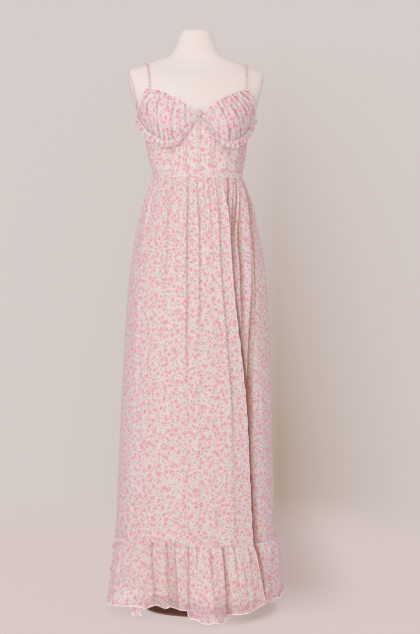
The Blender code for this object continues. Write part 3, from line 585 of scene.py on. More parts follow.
def with_lids(points):
    """Rings of points with both ends drawn in to their middles, slightly domed."""
    ends = []
    for ring, sign in ((points[0], -1), (points[-1], 1)):
        middle = ring.mean(axis=0)
        shrink = np.array([0.96, 0.85, 0.5, 0.02])[:, None, None]
        lids = middle + (ring - middle) * shrink
        lids[..., 2] += sign * 0.0005
        ends.append(lids)
    return np.concatenate([ends[0][::-1], points, ends[1]])


# Rows lie closer together over the shoulders and the neck
torso_heights = np.concatenate([np.linspace(0.850, 1.430, 70), np.linspace(1.433, 1.575, 60)])
cloth_sheet(
    "dress_form_torso", with_lids(torso_points(torso_heights, 160)), JERSEY, ["form_torso"],
    "form_cover", closed=True,
)


print("the form stands", round(float(torso_heights[-1]), 3), "m high")

# %% The plates over the armholes
PLATE_HALF_TALL, PLATE_HALF_DEEP = 0.048, 0.040
# Share of the plate's half sizes and height over the armhole, from the rim's back to the middle
PLATE_PROFILE = [
    (1.0, -0.0020), (1.0, 0.0008), (0.985, 0.0017), (0.955, 0.0020), (0.6, 0.0021), (0.02, 0.0021),
]


def arm_plate(name, side, node_name):
    """Oval plate with a rounded rim, lying on the flat armhole."""
    lowest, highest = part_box(node_name)
    middle = (lowest + highest) / 2
    out = Vector((1.0, 0.0, -ARM_PLANE_SLOPE)).normalized()
    up = Vector((ARM_PLANE_SLOPE, 0.0, 1.0)).normalized()
    rings = []
    for share, lift in PLATE_PROFILE:
        ring = []
        for step in range(72):
            turn = 2 * math.pi * step / 72
            tall = PLATE_HALF_TALL * share * math.cos(turn)
            deep = PLATE_HALF_DEEP * share * math.sin(turn)
            point = up * tall + Vector((0, deep, 0)) + out * lift
            ring.append((middle.x + side * point.x, middle.y + point.y, middle.z + point.z))
        rings.append(ring if side > 0 else ring[::-1])
    cloth_sheet(name, np.array(rings), JERSEY, [node_name], "form_cover", closed=True)


arm_plate("arm_plate_left", 1, "form_arm_plate_left")
arm_plate("arm_plate_right", -1, "form_arm_plate_right")
print("arm plates:", 2 * PLATE_HALF_TALL, "m tall,", 2 * PLATE_HALF_DEEP, "m deep")

# %% [markdown]
# ## How a gather is shaped
#
# A gather isn't a sine wave. The thread pulls the cloth into a ridge that leans one way, drops
# steeply beside it, and rises slowly to the next. That steep side is the dark line that the
# eye sees, and shade is painted into it as well. It is deep at the seam and dies out down the
# cloth, each one at its own height.


# %% The profile of one crease
def crease(distance, ridge, trough, step=0.0012):
    """Ridge, steep drop and slow recovery; distance runs across it in metres, result -1 to 1."""
    reach = np.where(distance < 0, ridge, trough)
    return -np.tanh(distance / step) * np.exp(-np.abs(distance) / reach)


def ripple(angle, z, height):
    """Slight unevenness that hanging cloth always has."""
    turn = np.radians(angle)
    wave = np.sin(7 * turn + 9 * z + 0.4) + 0.7 * np.sin(13 * turn - 14 * z + 1.9)
    wave += 0.5 * np.sin(23 * turn + 22 * z + 4.0) + 0.4 * np.sin(5 * turn - 31 * z)
    return height * wave / 2.6


# %% [markdown]
# ## The skirt
#
# Two gathered panels hang from the waistband. The front one laps over the back one on the
# wearer's left, where the skirt is slit, and its edge runs down the whole length.
# The folds are placed one by one: each has its course, as angles at four heights, because a
# simulated skirt would put them anywhere. Close gathers at the waist run out between them.

# %% Sections of the skirt
# Heights of the waistband's lower edge, of the skirt's top just under it, and of the flounce's
# seam; and the angle of the side seam on the wearer's right
WAIST_Z = 1.1640
SKIRT_TOP = 1.1637
FLOUNCE_SEAM = 0.1900
SEAM_GAP = 0.0003
SIDE_SEAM = -92.0
SKIRT_POWER = 2.15
SKIRT_Z = [
    0.005, 0.080, 0.124, 0.170, 0.195, 0.278, 0.398, 0.563, 0.716, 0.848, 0.957, 1.045, 1.089,
    1.132, 1.164,
]
SKIRT_LEFT = [
    0.247, 0.238, 0.233, 0.226, 0.221, 0.216, 0.211, 0.203, 0.195, 0.187, 0.174, 0.160, 0.149,
    0.134, 0.119,
]
SKIRT_RIGHT = [
    0.251, 0.240, 0.236, 0.226, 0.217, 0.214, 0.210, 0.208, 0.202, 0.196, 0.184, 0.166, 0.156,
    0.142, 0.130,
]
SKIRT_FRONT = [
    0.196, 0.188, 0.183, 0.176, 0.170, 0.167, 0.164, 0.160, 0.155, 0.149, 0.143, 0.133, 0.124,
    0.112, 0.101,
]
SKIRT_BACK = [
    0.226, 0.216, 0.208, 0.198, 0.192, 0.186, 0.178, 0.166, 0.157, 0.149, 0.141, 0.126, 0.115,
    0.100, 0.0875,
]

# %% Courses of its folds
COURSE_HEIGHTS = [0.190, 0.520, 0.980, 1.164]
# Rows: gather number, then its angle at the flounce seam, knee, hip and waist
FRONT_COURSES = np.array([
    (0, -92.0, -92.0, -92.0, -92.0),
    (6, -33.0, -33.0, -34.6, -39.0),
    (9, -13.0, -13.0, -14.0, -15.4),
    (11, -1.0, -1.0, -0.6, -3.4),
    (13, 13.0, 13.0, 12.6, 13.1),
    (14, 31.0, 29.0, 20.9, 23.0),
    (16, 44.5, 41.5, 30.8, 33.5),
])
BACK_COURSES = np.array([
    (0, 38.8, 35.8, 25.1, 33.8),
    (2, 42.5, 39.5, 36.0, 50.0),
    (3, 46.0, 43.5, 42.8, 59.0),
    (4, 52.0, 46.5, 54.6, 67.0),
    (6, 74.0, 74.0, 74.0, 82.0),
    (24, 267.8, 267.8, 267.75, 267.65),
])


def skirt_radius(angle, z):
    """The skirt's outer surface, before its folds."""
    tables = (SKIRT_LEFT, SKIRT_RIGHT, SKIRT_FRONT, SKIRT_BACK)
    return oval(angle, *(through(SKIRT_Z, table, z) for table in tables), SKIRT_POWER)


def course_angles(courses, gathers, z):
    """Angles of gather lines, one row for each height in z and one column for each gather."""
    marks = np.stack([through(COURSE_HEIGHTS, row[1:], z) for row in courses])
    return through(courses[:, 0], marks, gathers).T


# %% [markdown]
# ## Main folds and close gathers
#
# Each fold has its gather number, its depth in millimetres at the waist and further down, the
# height where it fades, and how wide its ridge and trough are. The close gathers between them
# come from a seeded random list, so that they are uneven but the same on every run.

# %% Tables of folds
# Rows: gather, depth at the waist, depth below, height where it fades, ridge width, trough width
FRONT_FOLDS = [
    (1.4, 2.0, 1.5, 0.90, 9, 12),
    (3.1, 2.5, 3.5, 0.62, 14, 22),
    (6.0, 3.5, 5.0, 0.86, 14, 20),
    (9.0, 3.0, 5.5, 0.66, 16, 18),
    (11.0, 3.0, 5.0, 0.80, 12, 18),
    (13.0, 3.4, 3.5, 1.02, 8, 12),
    (14.0, 3.4, 6.0, 0.48, 12, 16),
]
BACK_FOLDS = [
    (2.0, 3.0, 3.5, 0.90, 8, 10),
    (3.0, 3.2, 6.0, 0.78, 10, 14),
    (4.0, 3.2, 6.5, 0.52, 12, 16),
    (6.0, 3.0, 4.5, 0.60, 14, 18),
    (9.0, 3.0, 5.5, 0.42, 16, 22),
    (12.0, 3.0, 6.5, 0.55, 16, 20),
    (14.0, 3.0, 5.5, 0.36, 14, 20),
    (17.0, 3.0, 6.5, 0.50, 16, 22),
    (20.0, 3.0, 5.5, 0.45, 14, 20),
    (22.0, 3.0, 4.5, 0.60, 14, 20),
]


def close_gathers(first, last, spacing, main, seed):
    """Small gathers between the main folds: gather number, depth, length down and width."""
    dice = np.random.default_rng(seed)
    found = []
    place = first
    while place < last:
        if all(abs(place - fold[0]) > 0.45 for fold in main):
            depth, length = dice.uniform(1.5, 3.0), dice.uniform(0.08, 0.26)
            found.append((place, depth, length, dice.uniform(4, 7)))
        place += spacing * dice.uniform(0.75, 1.3)
    return found


print("main folds:", len(FRONT_FOLDS), "in front,", len(BACK_FOLDS), "at the back")

# %% Painted shade beside folds and under edges
# The dress is shown turned this far to its right, and the painted shade starts behind the folds' edges
VIEW_DEGREES = 5.0


def fold_shade(away, line, depth, reach):
    """Painted shade that a fold throws behind itself, where the skirt turns away on the wearer's left.
    """
    past = away - 1.8 * depth * np.tan(np.radians(np.clip(line + VIEW_DEGREES, 0, 72)))
    turned_off = smooth((line - 18) / 16) * smooth((112 - line) / 20)
    return smooth(1 - past / reach) * smooth(away / 0.0015) * turned_off


def side_clear_and_sheen(angle):
    """At the sides the cloth hangs clear of the lining, seen against itself; its cool tone is partly
    painted sheen.
    """
    side = np.abs(turned(angle + 4))
    return 0.65 * smooth((side - 34) / 32) * (1 - smooth((side - 105) / 40))


def slit_shade(past_edge, gap, edge):
    """Painted shade on the cloth under a lapping edge: a dark line, then a soft fade away from it."""
    past = past_edge - gap * np.tan(np.radians(edge + VIEW_DEGREES))
    return 0.95 * smooth(1 - past / 0.036) + 1.1 * smooth(1.25 - past / 0.0075)


# %% All folds of one panel together
def folded(angle, z, courses, folds, small, edges):
    """How far the folds lift the cloth, how far it then stands off the lining, and its painted shade."""
    below = WAIST_Z - z
    radius = skirt_radius(angle, z)
    lift = np.zeros_like(angle)
    stand = np.zeros_like(angle)
    gathers = [row[0] for row in folds] + [row[0] for row in small]
    lines = course_angles(courses, np.array(gathers), z[:, 0])
    # Depths and widths come in millimetres. A fold grows softer below the height where it fades
    for index, (_, waist, deep, fades, ridge, trough) in enumerate(folds):
        line = lines[:, index:index + 1]
        away = np.radians(angle - line) * radius
        soft = smooth(0.5 - (z - fades) / 0.26)
        depth = waist * (1 - smooth(below / 0.20)) + deep * smooth(below / 0.12) * (1 - 0.45 * soft)
        wider = (0.45 + 0.55 * smooth(below / 0.25)) * (1 + 0.5 * soft) / 1000
        shape = crease(away, ridge * wider, trough * wider, 0.0012 + 0.0075 * soft)
        lift += depth / 1000 * shape
        strength = np.clip(depth / 4.5, 0, 1) * (1 - 0.35 * soft)
        # The ridge gets the cooler tone; the trough, and the cloth behind the fold, get painted shade
        stand += strength * np.clip(shape, 0, 1) - 1.1 * strength * np.clip(-shape, 0, 1) ** 2
        stand -= 0.60 * strength * fold_shade(away, line, depth / 1000, 0.018)
    for index, (_, depth, length, width) in enumerate(small, start=len(folds)):
        line = lines[:, index:index + 1]
        away = np.radians(angle - line) * radius
        fade = np.exp(-((below / length) ** 1.4))
        shape = crease(away, width / 1000, width * 1.2 / 1000, 0.0010)
        lift += depth / 1000 * shape * fade
        # Painted shade in each gather's trough and behind it
        stand += fade * (0.55 * np.clip(shape, 0, 1) - 1.25 * np.clip(-shape, 0, 1) ** 1.4)
        stand -= 0.30 * fade * fold_shade(away, line, depth / 1000, 0.007)
        # Painted shade in the hollow beside each gather's ridge, darker the further it turns from the
        # light
        stand -= 1.2 * fade * bell(away - 0.0014, 0.0018) * smooth((line + 38) / 40)
    return lift * edges, np.clip(stand + side_clear_and_sheen(angle), -1, 1)


# %% Rows of the skirt
def seam_rise(angle):
    """The flounce's seam sits a little higher on the wearer's right front."""
    return 0.012 * smooth((-8 - angle) / 12) * smooth((angle + 92) / 16)


def skirt_heights(rows):
    """Heights of the rows, closer together towards the waist."""
    share = np.linspace(0, 1, rows)
    top = FLOUNCE_SEAM + SEAM_GAP
    return (top + (SKIRT_TOP - top) * (1 - (1 - share) ** 1.25))[:, None]


# %% Front skirt
FRONT_GATHERS, BACK_GATHERS = 16, 24
# How far the front skirt lifts where it laps, the back one sinks under it, and the edge flares
LAP_LIFT, LAP_SINK, EDGE_FLARE = 0.0034, 0.0112, 0.0030

z = skirt_heights(190)
gather = np.linspace(0, FRONT_GATHERS, 340)
angle = course_angles(FRONT_COURSES, gather, z[:, 0])
small = close_gathers(0.5, 15.6, 0.62, FRONT_FOLDS, 11)
edges = smooth(np.minimum(gather, FRONT_GATHERS - gather) / 0.5)[None, :]
lift, stand = folded(angle, z, FRONT_COURSES, FRONT_FOLDS, small, edges)
lap = smooth((WAIST_Z - z) / 0.07) * smooth(1 - (FRONT_GATHERS - gather[None, :]) / 3)
flare = smooth((WAIST_Z - z) / 0.12) * np.exp(-(FRONT_GATHERS - gather[None, :]) / 0.45)
# The free edge waves slightly from the hip down
flutter = flare * smooth((1.0 - z) / 0.3) * smooth((z - FLOUNCE_SEAM) / 0.05)
flutter = flutter * (np.sin(z * 150) + 0.7 * np.sin(z * 97 + 1)) / 1.7
angle = angle + 0.7 * flutter
z = z + seam_rise(angle) * (1 - smooth((z - FLOUNCE_SEAM) / 0.15))
radius = skirt_radius(angle, z) + LAP_LIFT * lap + EDGE_FLARE * flare - 0.0012 * flutter
radius = radius + lift + ripple(angle, z, 0.0007) * edges
front_points = polar(angle, radius, z)
# Beside the slit the creases between knee and waist are the darkest, so their painted shade is deepened
near = smooth((z - 0.50) / 0.30) * smooth((angle - 6) / 12)
stand = np.clip(stand * np.where(stand < 0, 1 + 0.9 * near, 1.0), -1.0, 1.0)
skirt_front = cloth_sheet(
    "gathered_skirt_front", front_points, CHIFFON, ["skirt_front"],
    stand=np.maximum(stand, flare), start=(0, 233),
)

# %% Back skirt, which starts under the front one
z = skirt_heights(190)
gather = np.linspace(0, BACK_GATHERS, 440)
angle = course_angles(BACK_COURSES, gather, z[:, 0])
edge = course_angles(FRONT_COURSES, np.array([FRONT_GATHERS]), z[:, 0])
start = course_angles(BACK_COURSES, np.array([0]), z[:, 0])
angle = angle + np.where(z > 1.08, edge + 0.6 - start, 0.0) * smooth(1 - gather[None, :] / 2)
small = close_gathers(1.0, 23.5, 0.62, BACK_FOLDS, 29)
edges = smooth(np.minimum(gather, BACK_GATHERS - gather) / 0.5)[None, :]
lift, stand = folded(angle, z, BACK_COURSES, BACK_FOLDS, small, edges)
# Between the close folds at the hip beside the slit least light gets in, so their painted shade is
# deepened
near = smooth((z - 0.62) / 0.30) * smooth((104 - angle) / 30)
stand = np.clip(stand * np.where(stand < 0, 1 + 0.3 * near, 1.0), -1.0, 1.0)
past_edge = np.radians(angle - edge) * skirt_radius(angle, z)
sink = LAP_SINK * smooth((WAIST_Z - z) / 0.09) * smooth((0.066 - past_edge) / 0.042)
radius = skirt_radius(angle, z) - sink + lift + ripple(angle, z, 0.0008) * edges
back_points = polar(angle, radius, z)
# Painted shade in the slit, on the back skirt under the front skirt's edge
gap = (LAP_LIFT + EDGE_FLARE + LAP_SINK) * smooth((WAIST_Z - z) / 0.09)
shade = slit_shade(past_edge, gap, edge) * smooth((WAIST_Z - z) / 0.09)
shade = shade * (0.36 + 0.64 * smooth((0.95 - z) / 0.26))
# Close to the waistband the two skirts lie on each other, so no deep painted shade is put in the slit
# there
stand = np.maximum(stand - shade, -1 - smooth((1.04 - z) / 0.22))
skirt_back = cloth_sheet(
    "gathered_skirt_back", back_points, CHIFFON, ["skirt_back"],
    stand=stand, start=(0, 220), shift=0.71,
)

# %% [markdown]
# ## The hem flounce
#
# A straight strip of cloth, a third longer than the skirt's hem, is gathered on to it. So it
# stands out from its seam in many small ridges, and swings in a few large waves at the hem.
# The lining ends above it, so its last few centimetres are see-through.

# %% Tables of the hem
HEM_ANGLES = [
    -92, -80, -73, -63, -55.6, -47.5, -46, -41, -37, -30, -26.5, -22, -10.5, -9.9, -3,
    -0.3, 3.5, 7, 11.5, 15.3, 16, 22, 30, 36, 44, 52, 61, 69.5, 71, 80, 88, 92, 105, 130, 160, 190,
    220, 245, 268,
]
HEM_Z = [
    0.018, 0.020, 0.024, 0.030, 0.032, 0.031, 0.0285, 0.036, 0.040, 0.032, 0.036, 0.0355,
    0.034, 0.0165, 0.014, 0.008, 0.0085, 0.013, 0.007, 0.006, 0.015, 0.0205, 0.021, 0.023, 0.028, 0.036,
    0.033, 0.024, 0.032, 0.030, 0.036, 0.034, 0.026, 0.018, 0.024, 0.016, 0.023, 0.017, 0.018,
]
FLOUNCE_EDGE_Z = [0.01, 0.08, 0.13, 0.19]
FLOUNCE_EDGE_ANGLE = [52.0, 49.0, 47.0, 44.5]
FLOUNCE_LAP = 5.7
# Rows: angle, width in degrees, how far the hem swings out in metres
HEM_WAVES = [
    (-95, 16, -0.006), (-62, 8, 0.004), (-46, 12, -0.020), (-28, 9, -0.026), (3, 7, 0.024),
    (10, 6, 0.030), (31, 8, 0.010), (46, 8, -0.008), (84, 14, -0.010), (100, 9, 0.006), (118, 9, -0.012),
    (137, 8, 0.016), (158, 8, -0.012), (178, 9, 0.018), (199, 8, -0.014), (219, 8, 0.014),
    (240, 8, -0.012), (265, 16, -0.006),
]
BACK_FLOUNCE_WAVE = (58, 16, -0.040)
LINING_HEM_ANGLES = [-180, -92, -60, -45, -30, -18, 0, 12, 25, 40, 70, 120, 180]
LINING_HEM_Z = [
    0.060, 0.060, 0.066, 0.071, 0.070, 0.060, 0.056, 0.052, 0.051, 0.058, 0.062, 0.060, 0.060,
]


# %% Points of a flounce
HEM_LEVEL = 0.02


def flounce_points(first, last, columns, rows, lift, swings, gathers, plumb=0.0):
    """Points of a flounce from seam to hem, their stand-off and painted shade, and where it is single.
    """
    share = np.linspace(0, 1, columns)[None, :]
    down = np.linspace(0, 1, rows)[:, None]
    seam_angle = first(FLOUNCE_SEAM) + (last(FLOUNCE_SEAM) - first(FLOUNCE_SEAM)) * share
    hem_angle = first(HEM_LEVEL) + (last(HEM_LEVEL) - first(HEM_LEVEL)) * share
    top = FLOUNCE_SEAM + 0.0016 + seam_rise(seam_angle)
    hem = through(HEM_ANGLES, HEM_Z, hem_angle)
    z = top + (hem - top) * down
    angle = first(z) + (last(z) - first(z)) * share
    radius = skirt_radius(angle, z) + lift(angle)
    for at, wide, swing in swings:
        radius = radius + swing * bell(angle - at, wide) * down**1.3
    # It is pulled in at the seam and puffs out just below
    radius = radius + 0.0014 * bell((down - 0.14) / 0.12, 1.0) - 0.0022 * np.exp(-down / 0.014)
    stand = np.zeros_like(angle)
    for place, depth, length, ridge in gathers:
        # Beside the slit they fall straight down, while the cloth itself swings out
        straight = plumb * (1 - down) * smooth((place - 0.5) / 0.2)
        drift = place + 0.004 * math.sin(40 * place) * down + straight
        away = (share - drift) * np.radians(last(z) - first(z)) * radius
        fade = np.exp(-((down / length) ** 1.6))
        facing = math.copysign(1, depth)
        wider = ridge * (0.7 + 0.9 * down)
        shape = facing * crease(away, wider, 1.3 * wider, 0.0010 + 0.0010 * down)
        radius = radius + abs(depth) * shape * fade
        # Painted shade in each trough, the cooler tone on each ridge
        stand += 0.8 * fade * (np.clip(shape, 0, 1) - 1.3 * np.clip(-shape, 0, 1) ** 2)
    radius = radius + ripple(angle * 2.3, z * 3, 0.0012) * down
    lining_hem = through(LINING_HEM_ANGLES, LINING_HEM_Z, turned(angle))
    # Below the lining's hem the single cloth is marked, to be painted greyer as shade
    single = smooth((lining_hem - z) / 0.009) * smooth((angle + 54) / 14)
    return polar(angle, radius, z), np.clip(stand + side_clear_and_sheen(angle), -1, 1), single


# %% Gathers of a flounce, and the slit's edge
def flounce_gathers(count, seed, long_ones):
    """Uneven gathers along a flounce's seam: share across, depth, length down and ridge width."""
    dice = np.random.default_rng(seed)
    found = []
    for step in range(count):
        place = (step + 0.5 + dice.uniform(-0.28, 0.28)) / count
        depth, length = dice.uniform(0.0008, 0.0022), dice.uniform(0.10, 0.50)
        found.append((place, depth, length, dice.uniform(0.003, 0.006)))
    return found + list(long_ones)


def front_edge(z):
    """Angle of the front flounce's free edge."""
    return through(FLOUNCE_EDGE_Z, FLOUNCE_EDGE_ANGLE, z)


# %% Front flounce
# Long folds that run to the hem: share across, depth (below 0 it drops to the left), length
# down, ridge width
FRONT_LONG_FOLDS = [
    (0.060, 0.0035, 1.2, 0.008), (0.170, 0.0050, 0.9, 0.009), (0.270, 0.0030, 1.0, 0.008),
    (0.366, 0.0060, 1.6, 0.010), (0.455, 0.0062, 1.2, 0.008), (0.515, -0.0065, 2.4, 0.011),
    (0.585, -0.0085, 2.4, 0.012), (0.622, 0.0030, 0.6, 0.006), (0.690, 0.0026, 1.0, 0.009),
    (0.770, 0.0085, 3.0, 0.012), (0.842, 0.0036, 0.8, 0.006), (0.888, 0.0034, 1.2, 0.005),
    (0.930, 0.0030, 1.1, 0.005),
]
points, stand, single = flounce_points(
    first=lambda z: SIDE_SEAM + 0 * z,
    last=front_edge,
    columns=360,
    rows=70,
    lift=lambda angle: 0.0010 + LAP_LIFT * smooth((angle - 30) / 14),
    swings=HEM_WAVES,
    gathers=flounce_gathers(34, 5, FRONT_LONG_FOLDS),
    plumb=0.034,
)
front_flounce_points = points
flounce_front = cloth_sheet(
    "hem_flounce_front", points[::-1], CHIFFON, ["flounce_front"],
    stand=stand[::-1], start=(0, 180), shift=0.37, single=single[::-1],
)

# %% The fold behind the front hem
# A fold of its fullness hangs lower behind the hem, on the wearer's right
FOLD_TOP, FOLD_FOOT, FOLD_FROM, FOLD_TO = 0.062, 0.0090, -55.6, -48.4
hem_row = front_flounce_points[-1]
hem_turn = np.degrees(np.arctan2(hem_row[:, 0], -hem_row[:, 1]))
angle = np.linspace(FOLD_FROM, FOLD_TO, 16)[None, :]
down = np.linspace(0, 1, 14)[:, None]
radius = np.interp(angle, hem_turn, np.hypot(hem_row[:, 0], hem_row[:, 1]))
radius = radius - 0.0045 - 0.0080 * (1 - down) - 0.0015 * np.cos((angle + 52) * 0.9)
fold_points = polar(angle, radius, FOLD_TOP + (FOLD_FOOT - FOLD_TOP) * down)
flounce_fold = cloth_sheet("hem_flounce_fold", fold_points[::-1], CHIFFON, stand=0.8, shift=0.64)
print("fold behind the hem:", round(length_of(fold_points[-1]), 3), "m wide")

# %% Back flounce
dice = np.random.default_rng(17)
back_long_folds = [
    (place, dice.uniform(0.003, 0.0055), dice.uniform(0.8, 2.2), dice.uniform(0.006, 0.010))
    for place in (0.19, 0.27, 0.36, 0.44, 0.53, 0.61, 0.70, 0.78, 0.87, 0.95)
]
back_long_folds += [(0.095, 0.0075, 2.0, 0.009), (0.142, 0.0085, 2.4, 0.010)]
points, stand, single = flounce_points(
    first=lambda z: front_edge(z) - FLOUNCE_LAP,
    last=lambda z: SIDE_SEAM + 359.8 + 0 * z,
    columns=560,
    rows=64,
    lift=lambda angle: 0.0010 - LAP_SINK * smooth((60 - angle) / 16),
    swings=[wave for wave in HEM_WAVES if wave[0] > 60] + [BACK_FLOUNCE_WAVE],
    gathers=flounce_gathers(56, 8, back_long_folds),
)
back_flounce_points = points
# Its part under the front flounce gets painted shade, like the skirt above it
turn = np.degrees(np.arctan2(points[..., 0], -points[..., 1]))
reach = np.hypot(points[..., 0], points[..., 1])
edge = front_edge(points[..., 2])
past_edge = np.radians(turned(turn - edge)) * reach
gap = LAP_LIFT + LAP_SINK + 0.012 * np.linspace(0, 1, len(points))[:, None] ** 1.3
near_slit = smooth(2 - np.abs(turned(turn - edge)) / 30)
stand = stand - 0.7 * slit_shade(past_edge, gap, edge) * near_slit
flounce_back = cloth_sheet(
    "hem_flounce_back", points[::-1], CHIFFON, ["flounce_back"],
    stand=stand[::-1], start=(0, 280), shift=0.52, single=single[::-1],
)

# %% [markdown]
# ## Rolled hems
#
# Chiffon frays, so its edges are rolled into a cord 1 to 3 mm thick and overstitched. That
# cord is the bright line at the hem and at the slit. It is a thin tube along the sheet's own
# edge points, so that it follows every ripple of it.

# %% The rolled cloth
def rolled_hem_material(name, colour):
    """Rolled chiffon, four layers thick: pale and opaque, with a painted highlight and the print's pink
    in patches.
    """
    material, tree, shader = new_material(
        name, {"Roughness": 0.7, "IOR": 1.46, "Sheen Weight": 0.25, "Specular IOR Level": 0.3}
    )
    uv = add_node(tree, "UVMap", uv_map="flat_cloth").outputs[0]
    patches = add_node(tree, "TexNoise", {"Vector": uv, "Scale": 90.0, "Detail": 2.0})
    pink = add_node(
        tree, "MapRange", {"Value": patches.outputs["Fac"], "From Min": 0.54, "From Max": 0.66}
    ).outputs[0]
    base = add_node(
        tree, "Mix", {"Factor": pink, "A": linear(colour), "B": linear("#eeb4ba")}, data_type="RGBA"
    ).outputs["Result"]
    tree.links.new(base, shader.inputs["Base Color"])
    # Overstitching every 3 mm along the roll
    stitches = add_node(
        tree, "TexWave", {"Vector": uv, "Scale": waves(0.0030), "Distortion": 0.3},
        wave_type="BANDS", bands_direction="X",
    )
    bump = add_node(
        tree, "Bump", {"Strength": 0.5, "Distance": 0.0003, "Height": stitches.outputs["Fac"]}
    )
    tree.links.new(bump.outputs[0], shader.inputs["Normal"])
    return material


ROLLED = rolled_hem_material("chiffon_rolled_hem", "#fff4f1")

# %% Rolled edges of the flounces and of the slit
# Radii of the roll at the hem, at the fold behind it, and along the slit
HEM_ROLL, FOLD_ROLL, FLOUNCE_SLIT_ROLL, SKIRT_SLIT_ROLL = 0.0013, 0.0009, 0.0007, 0.0006


def rolled_edge(name, path, radius, closed=False, material=ROLLED):
    """A rolled edge along a path of points."""
    return add_object(name, tube_mesh(name, path, radius, closed=closed), material)


hem_front = rolled_edge("rolled_hem_front", front_flounce_points[-1], HEM_ROLL)
hem_back = rolled_edge("rolled_hem_back", back_flounce_points[-1], HEM_ROLL)
hem_fold = rolled_edge("rolled_hem_fold", fold_points[-1], FOLD_ROLL)
slit_flounce = rolled_edge(
    "rolled_slit_edge_flounce", front_flounce_points[:, -1], FLOUNCE_SLIT_ROLL
)
# The skirt's slit edge is rolled up to 7 cm under the waist, where the gathers close over it
rolled_edge("rolled_slit_edge_skirt", front_points[:165, -1], SKIRT_SLIT_ROLL)
print("rolled hem:", round(2000 * HEM_ROLL, 1), "mm thick")

# %% [markdown]
# ## The lining
#
# A plain satin under-skirt carries the sheer one. It is smoother than the chiffon and hangs in
# a few wide folds. What matters is its tone and its hem, because both show through the chiffon.

# %% Satin
def lining_satin(name, colour):
    """Polyester lining satin: warm, opaque, with a low silky gloss across its weave."""
    material, tree, shader = new_material(
        name, {"Roughness": 0.5, "IOR": 1.48, "Sheen Weight": 0.2, "Specular IOR Level": 0.4}
    )
    uv = add_node(tree, "UVMap", uv_map="flat_cloth").outputs[0]
    slub = add_node(tree, "TexNoise", {"Vector": uv, "Scale": 60.0, "Detail": 3.0})
    base = add_node(
        tree, "Mix",
        {"Factor": slub.outputs["Fac"], "A": linear(colour), "B": linear("#efcdb8")}, data_type="RGBA",
    ).outputs["Result"]
    tree.links.new(base, shader.inputs["Base Color"])
    # Satin's real diagonal is 0.1 mm fine; it is drawn at about 3 mm so that it shows
    weave = add_node(
        tree, "TexWave", {"Vector": uv, "Scale": waves(0.0024), "Distortion": 0.4},
        wave_type="BANDS", bands_direction="DIAGONAL",
    )
    bump = add_node(
        tree, "Bump", {"Strength": 0.1, "Distance": 0.0003, "Height": weave.outputs["Fac"]}
    )
    tree.links.new(bump.outputs[0], shader.inputs["Normal"])
    return material


SATIN = lining_satin("lining_satin", "#f4d9c6")
print("lining cloth:", SATIN.name)

# %% The lining and its hem
LINING_Z = [0.060, 0.278, 0.563, 0.848, 0.957, 1.045, 1.089, 1.132, 1.164]
LINING_LEFT = [0.208, 0.200, 0.188, 0.171, 0.160, 0.149, 0.138, 0.125, 0.1145]
LINING_RIGHT = [0.206, 0.198, 0.193, 0.181, 0.170, 0.154, 0.145, 0.132, 0.1215]
LINING_FRONT = [0.160, 0.152, 0.146, 0.134, 0.129, 0.121, 0.114, 0.103, 0.0960]
LINING_BACK = [0.182, 0.172, 0.152, 0.134, 0.127, 0.115, 0.104, 0.091, 0.0820]
LINING_TOP, LINING_CUT = 1.1634, 1.11
angle = np.linspace(-180, 180, 240, endpoint=False)[None, :]
share = np.linspace(0, 1, 90)[:, None]
hem = through(LINING_HEM_ANGLES, LINING_HEM_Z, angle)
z = hem + (LINING_TOP - hem) * share
tables = (LINING_LEFT, LINING_RIGHT, LINING_FRONT, LINING_BACK)
radius = oval(angle, *(through(LINING_Z, table, z) for table in tables), SKIRT_POWER)
slack = smooth((1.10 - z) / 0.5)
wide_folds = 0.0016 * (np.sin(np.radians(angle) * 9 + 1.2) - 1)
radius = radius + slack * (wide_folds + ripple(angle, z, 0.0006))
# Under the slit it hangs a little further in, where both skirt panels need room
radius = radius - 0.0060 * bell(angle - 46, 16) * smooth((WAIST_Z - z) / 0.12)
lining_points = polar(angle, radius, z)
lining = cloth_sheet(
    "skirt_lining_satin", lining_points, SATIN, ["skirt_lining"], "lining", closed=True
)
lining_hem = rolled_edge(
    "lining_rolled_hem", lining_points[0], 0.0009, closed=True, material=SATIN
)

# %% [markdown]
# ## Cups
#
# Each cup is a wide piece of cloth, drawn in along the neckline and along the seam under the
# bust, over a plain shell. The gathers fan out towards the arm. On the wearer's left they
# lean strongly outwards, on the right they stand almost upright, so each cup has its own table.

# %% Cup edges and cup gathers
CUP_ANGLES = [0, 3.5, 13.5, 23, 29, 36, 41, 47, 53, 59, 61.5, 65, 69.5, 75, 80, 84]
NECKLINE_Z = [
    1.3290, 1.3310, 1.3470, 1.3620, 1.3700, 1.3790, 1.3840, 1.3900, 1.3950, 1.3995, 1.3985, 1.3740,
    1.3600, 1.3490, 1.3440, 1.3420,
]
CUP_SEAM_Z = [
    1.3210, 1.3165, 1.2970, 1.2730, 1.2620, 1.2585, 1.2580, 1.2620, 1.2700, 1.2770, 1.2800, 1.2850,
    1.2925, 1.3050, 1.3200, 1.3360,
]
NECKLINE_CORNER, CUP_END = 61.5, 84.0
BACK_EDGE_ANGLES = [84.0, 88.0, 110.0, 145.0, 180.0]
BACK_EDGE_Z = [1.3345, 1.3370, 1.3330, 1.3290, 1.3270]
